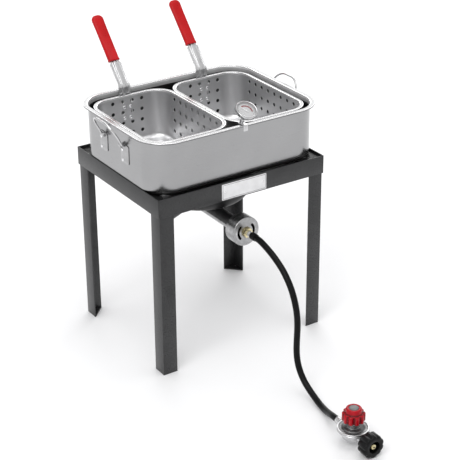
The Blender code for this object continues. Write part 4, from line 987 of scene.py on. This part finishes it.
def build_handle(side, cx, wall, body):
    out = wall + BASKET_FLANGE + 2 * GAP
    top = BASKET_TOP + HANDLE_RISE
    lean = Vector((sin(HANDLE_LEAN), cos(HANDLE_LEAN)))
    bend = Vector((out, top))
    low, high = HANDLE_STEP
    corners = [(wall + GAP, HANDLE_FOOT), (wall + GAP, low), (out, high), (out, top)]
    corners.append(bend + lean * GRIP_START)
    flat = filleted(corners, (0.008, 0.008, 0.022))
    path = [(p, 1.0) for p in flat[:-1]] + [(bend + lean * (GRIP_START - 0.006), 1.0)]
    path += [(bend + lean * GRIP_START, TONGUE), (bend + lean * (HANDLE_LEN - 0.012), TONGUE)]
    rings = []
    for i, (here, share) in enumerate(path):
        before, after = path[max(i - 1, 0)][0], path[min(i + 1, len(path) - 1)][0]
        along = (after - before).normalized()
        out_y, out_z = -along.y, along.x
        rings.append([(cx + u * share, here.x + out_y * v, here.y + out_z * v) for u, v in handle_section()])
    handle = loft(f"basket_handle_{side}.detailed", rings)
    settle(handle, body, [f"basket_handle_{side}"], "strap", sharp=50)
    outer = wall + GAP + RIB_H + HANDLE_SHEET
    spots = [((cx + sx * RIVET_U, outer, z), (0, 1, 0)) for sx in (-1, 1) for z in RIVET_Z]
    spots += [((cx + sx * RIVET_U, wall - BASKET_SHEET, z), (0, -1, 0)) for sx in (-1, 1) for z in RIVET_Z]
    settle(domed_rivets(f"handle_rivets_{side}", spots), body, [], "rivet")
    build_grip(side, cx, bend, body)


def build_grip(side, cx, bend, body):
    """A dipped vinyl sleeve with a bead at its mouth and a round end."""
    along = Vector((0, sin(HANDLE_LEAN), cos(HANDLE_LEAN)))
    up = Vector((0, -cos(HANDLE_LEAN), sin(HANDLE_LEAN)))
    origin = Vector((cx, bend[0], bend[1])) - up * (RIB_H + HANDLE_SHEET) / 2

    def ring(half_w, half_t, radius, s):
        flat = rounded_ring(half_w, half_t, min(radius, half_t * 0.95, half_w * 0.95), 0, steps=7)
        return [origin + Vector((1, 0, 0)) * u + up * v + along * s for u, v, _ in flat]

    slot_w = HANDLE_W * TONGUE / 2 + 0.0006
    slot_t = (RIB_H + HANDLE_SHEET) / 2 + 0.0005
    w, t = GRIP_W / 2, GRIP_T / 2
    mouth = GRIP_START + 0.0012
    sleeve = (
        (slot_w, slot_t, 0.0010, HANDLE_LEN - 0.012), (slot_w, slot_t, 0.0010, mouth + 0.0004),
        (slot_w + 0.0006, slot_t + 0.0006, 0.0014, mouth), (w - 0.0012, t - 0.0010, 0.0045, mouth),
        (w - 0.0003, t - 0.0003, 0.0052, mouth + 0.0006), (w, t, 0.0055, mouth + 0.0016),
        (w, t, 0.0055, mouth + 0.0040), (w - 0.0005, t - 0.0005, 0.0055, mouth + 0.0052),
        (w - 0.0005, t - 0.0004, 0.0055, HANDLE_LEN - 0.040),
        (w - 0.0002, t - 0.0002, 0.0055, HANDLE_LEN - 0.020),
    )
    rings = [ring(*row) for row in sleeve]
    for angle in (0, 12, 24, 36, 48, 60, 71, 80, 86):
        c, s = cos(radians(angle)), sin(radians(angle))
        reach = HANDLE_LEN - GRIP_CROWN + (GRIP_CROWN - 0.0004) * s
        rings.append(ring(w * (0.30 + 0.70 * c), t * (0.25 + 0.75 * sqrt(c)), 0.0055, reach))
    grip = loft(f"handle_grip_{side}.detailed", rings)
    settle(grip, body, [f"handle_grip_{side}"], "vinyl", sharp=50)


# ---- thermometer
def along_stem(obj):
    """Sets an object that was built along Z on the thermometer's own axis."""
    return aim(obj, (STEM_X, STEM_Y, STEM_Z), (0, -sin(STEM_TILT), cos(STEM_TILT)))


def build_thermometer():
    """Case, printed dial, lens and stem, turned on one axis. The needle and clip are the model's own."""
    face, dial_r, inner_r = DIAL_UP, DIAL_R - 0.0040, DIAL_R - 0.0036
    print_z = face - 0.0060
    profile = [
        (0.0046, face - 0.0150), (0.0060, face - 0.0146), (0.0080, face - 0.0128), (0.0110, face - 0.0100),
        (DIAL_R - 0.0022, face - 0.0095), (DIAL_R - 0.0008, face - 0.0090), (DIAL_R, face - 0.0080),
        (DIAL_R, face - 0.0016), (DIAL_R - 0.0003, face - 0.0006), (DIAL_R - 0.0010, face),
        (DIAL_R - 0.0026, face), (DIAL_R - 0.0034, face - 0.0005), (inner_r, face - 0.0012),
        (inner_r, face - 0.0070), (0.0046, face - 0.0070),
    ]
    case = along_stem(turned("thermometer_case.detailed", profile, 96, closed=True))
    settle(case, "thermometer", ["thermometer_case"], "chrome", sharp=40)
    profile = ((0.0012, print_z - 0.0007), (dial_r, print_z - 0.0007), (dial_r, print_z), (0.0012, print_z))
    dial = along_stem(turned("thermometer_dial.detailed", profile, 72, closed=True))
    settle(dial, "thermometer", ["thermometer_dial"], "dial")
    build_dial_marks(print_z, dial_r)
    lens = turned("thermometer_lens.detailed", ((dial_r, face - 0.0028), (dial_r, face - 0.0016)), 72)
    settle(eased(along_stem(lens), 0.0003), "thermometer", ["thermometer_lens"], "glass")
    tip = -STEM_DOWN
    profile = ((0.0005, tip), (0.0012, tip + 0.0008), (STEM_R, tip + 0.003), (STEM_R, face - 0.0154))
    stem = along_stem(turned("thermometer_stem.detailed", profile, 32))
    settle(stem, "thermometer", ["thermometer_stem"], "plated")
    crisp_copy("thermometer_needle", "needle", "needle", 0.00012, 1)
    crisp_copy("thermometer_clip", "clip", "plated", 0.0003, 2)


def build_dial_marks(z, dial_r):
    """Printed scale: ticks round most of the dial and a band along the hot part of it."""
    raised = 0.00015
    ticks = []
    first, last, count = -225, 45, 28
    for i in range(count):
        angle = radians(first + (last - first) * i / (count - 1))
        long = i % 3 == 0
        inner, half = dial_r * (0.78 if long else 0.84), 0.00035 if long else 0.0002
        out, side = Vector((cos(angle), sin(angle), 0)), Vector((-sin(angle), cos(angle), 0))
        base = [out * inner - side * half, out * dial_r * 0.93 - side * half,
                out * dial_r * 0.93 + side * half, out * inner + side * half]
        ticks.append(loft("tool_tick", [[p + Vector((0, 0, h)) for p in base] for h in (z, z + raised)]))
    marks = along_stem(combined("dial_ticks", ticks))
    settle(marks, "thermometer", [], "dial_black")
    outline = arc(0, 0, dial_r * 0.74, -25, 118, 40) + arc(0, 0, dial_r * 0.56, 118, -25, 40)
    band = loft("dial_band", [[(x, y, h) for x, y in outline] for h in (z, z + raised)])
    settle(along_stem(band), "thermometer", [], "dial_red")


# ---- studio
def build_floor():
    """A wide pale floor with a very faint mottle."""
    size, steps = 14.0, 8
    bm = bmesh.new()
    bmesh.ops.create_grid(bm, x_segments=steps, y_segments=steps, size=size)
    floor = from_bmesh("studio_floor", bm)
    look = surface("studio_white", 0.90, 0.92, (0.75, 0.85), patch=1.5, grain=60, bump=0.02)
    floor.data.materials.append(look)


def softbox(name, place, target, size, radiance):
    """A rectangular soft light that shines at a point."""
    light = bpy.data.lights.new(name, "AREA")
    light.shape = "RECTANGLE"
    light.size, light.size_y = size
    light.energy = radiance * pi * size[0] * size[1]
    obj = bpy.data.objects.new(name, light)
    SCENE.objects.link(obj)
    obj.location = place
    obj.rotation_mode = "QUATERNION"
    obj.rotation_quaternion = (Vector(target) - Vector(place)).to_track_quat("-Z", "Y")


def build_studio():
    world = bpy.data.worlds.new("studio")
    bpy.context.scene.world = world
    world.use_nodes = True
    background = world.node_tree.nodes["Background"]
    background.inputs["Color"].default_value = (1.0, 1.0, 1.0, 1)
    background.inputs["Strength"].default_value = 0.80
    softbox("softbox_back", (2.0, 2.8, 2.3), (0, 0, 0.5), (3.0, 2.2), 2.6)
    softbox("softbox_left", (-2.2, -1.5, 3.0), (-0.9, -0.8, 0.0), (1.8, 1.8), 4.0)
    softbox("softbox_top", (0.2, -0.4, 4.2), (0, -0.2, 0), (2.4, 2.4), 1.6)
    bpy.context.scene.view_settings.view_transform = "Standard"
    build_floor()


# ---- the whole kit
build_camera()
LOOKS = build_looks()


def main():
    build_stand()
    build_nameplate()
    build_wind_guard()
    build_casting()
    build_burner_top()
    build_shutter()
    near_ferrule = build_gas_fittings()
    far_end = (REG_X, HOSE_ROUTE[-1][1] - GAP, REG_Z)
    far_ferrule = ferrule("hose_ferrule_regulator", far_end, FERRULE_LEN, "plated")
    fittings = [near_ferrule, far_ferrule, build_regulator_body()]
    fittings += build_regulator_top() + build_knob() + build_inlet()
    build_hose()
    build_pan()
    for side, sign in (("left", -1), ("right", 1)):
        build_brackets(side, sign)
        build_bail(side, sign)
        build_basket(side, sign)
    build_thermometer()
    build_studio()


main()
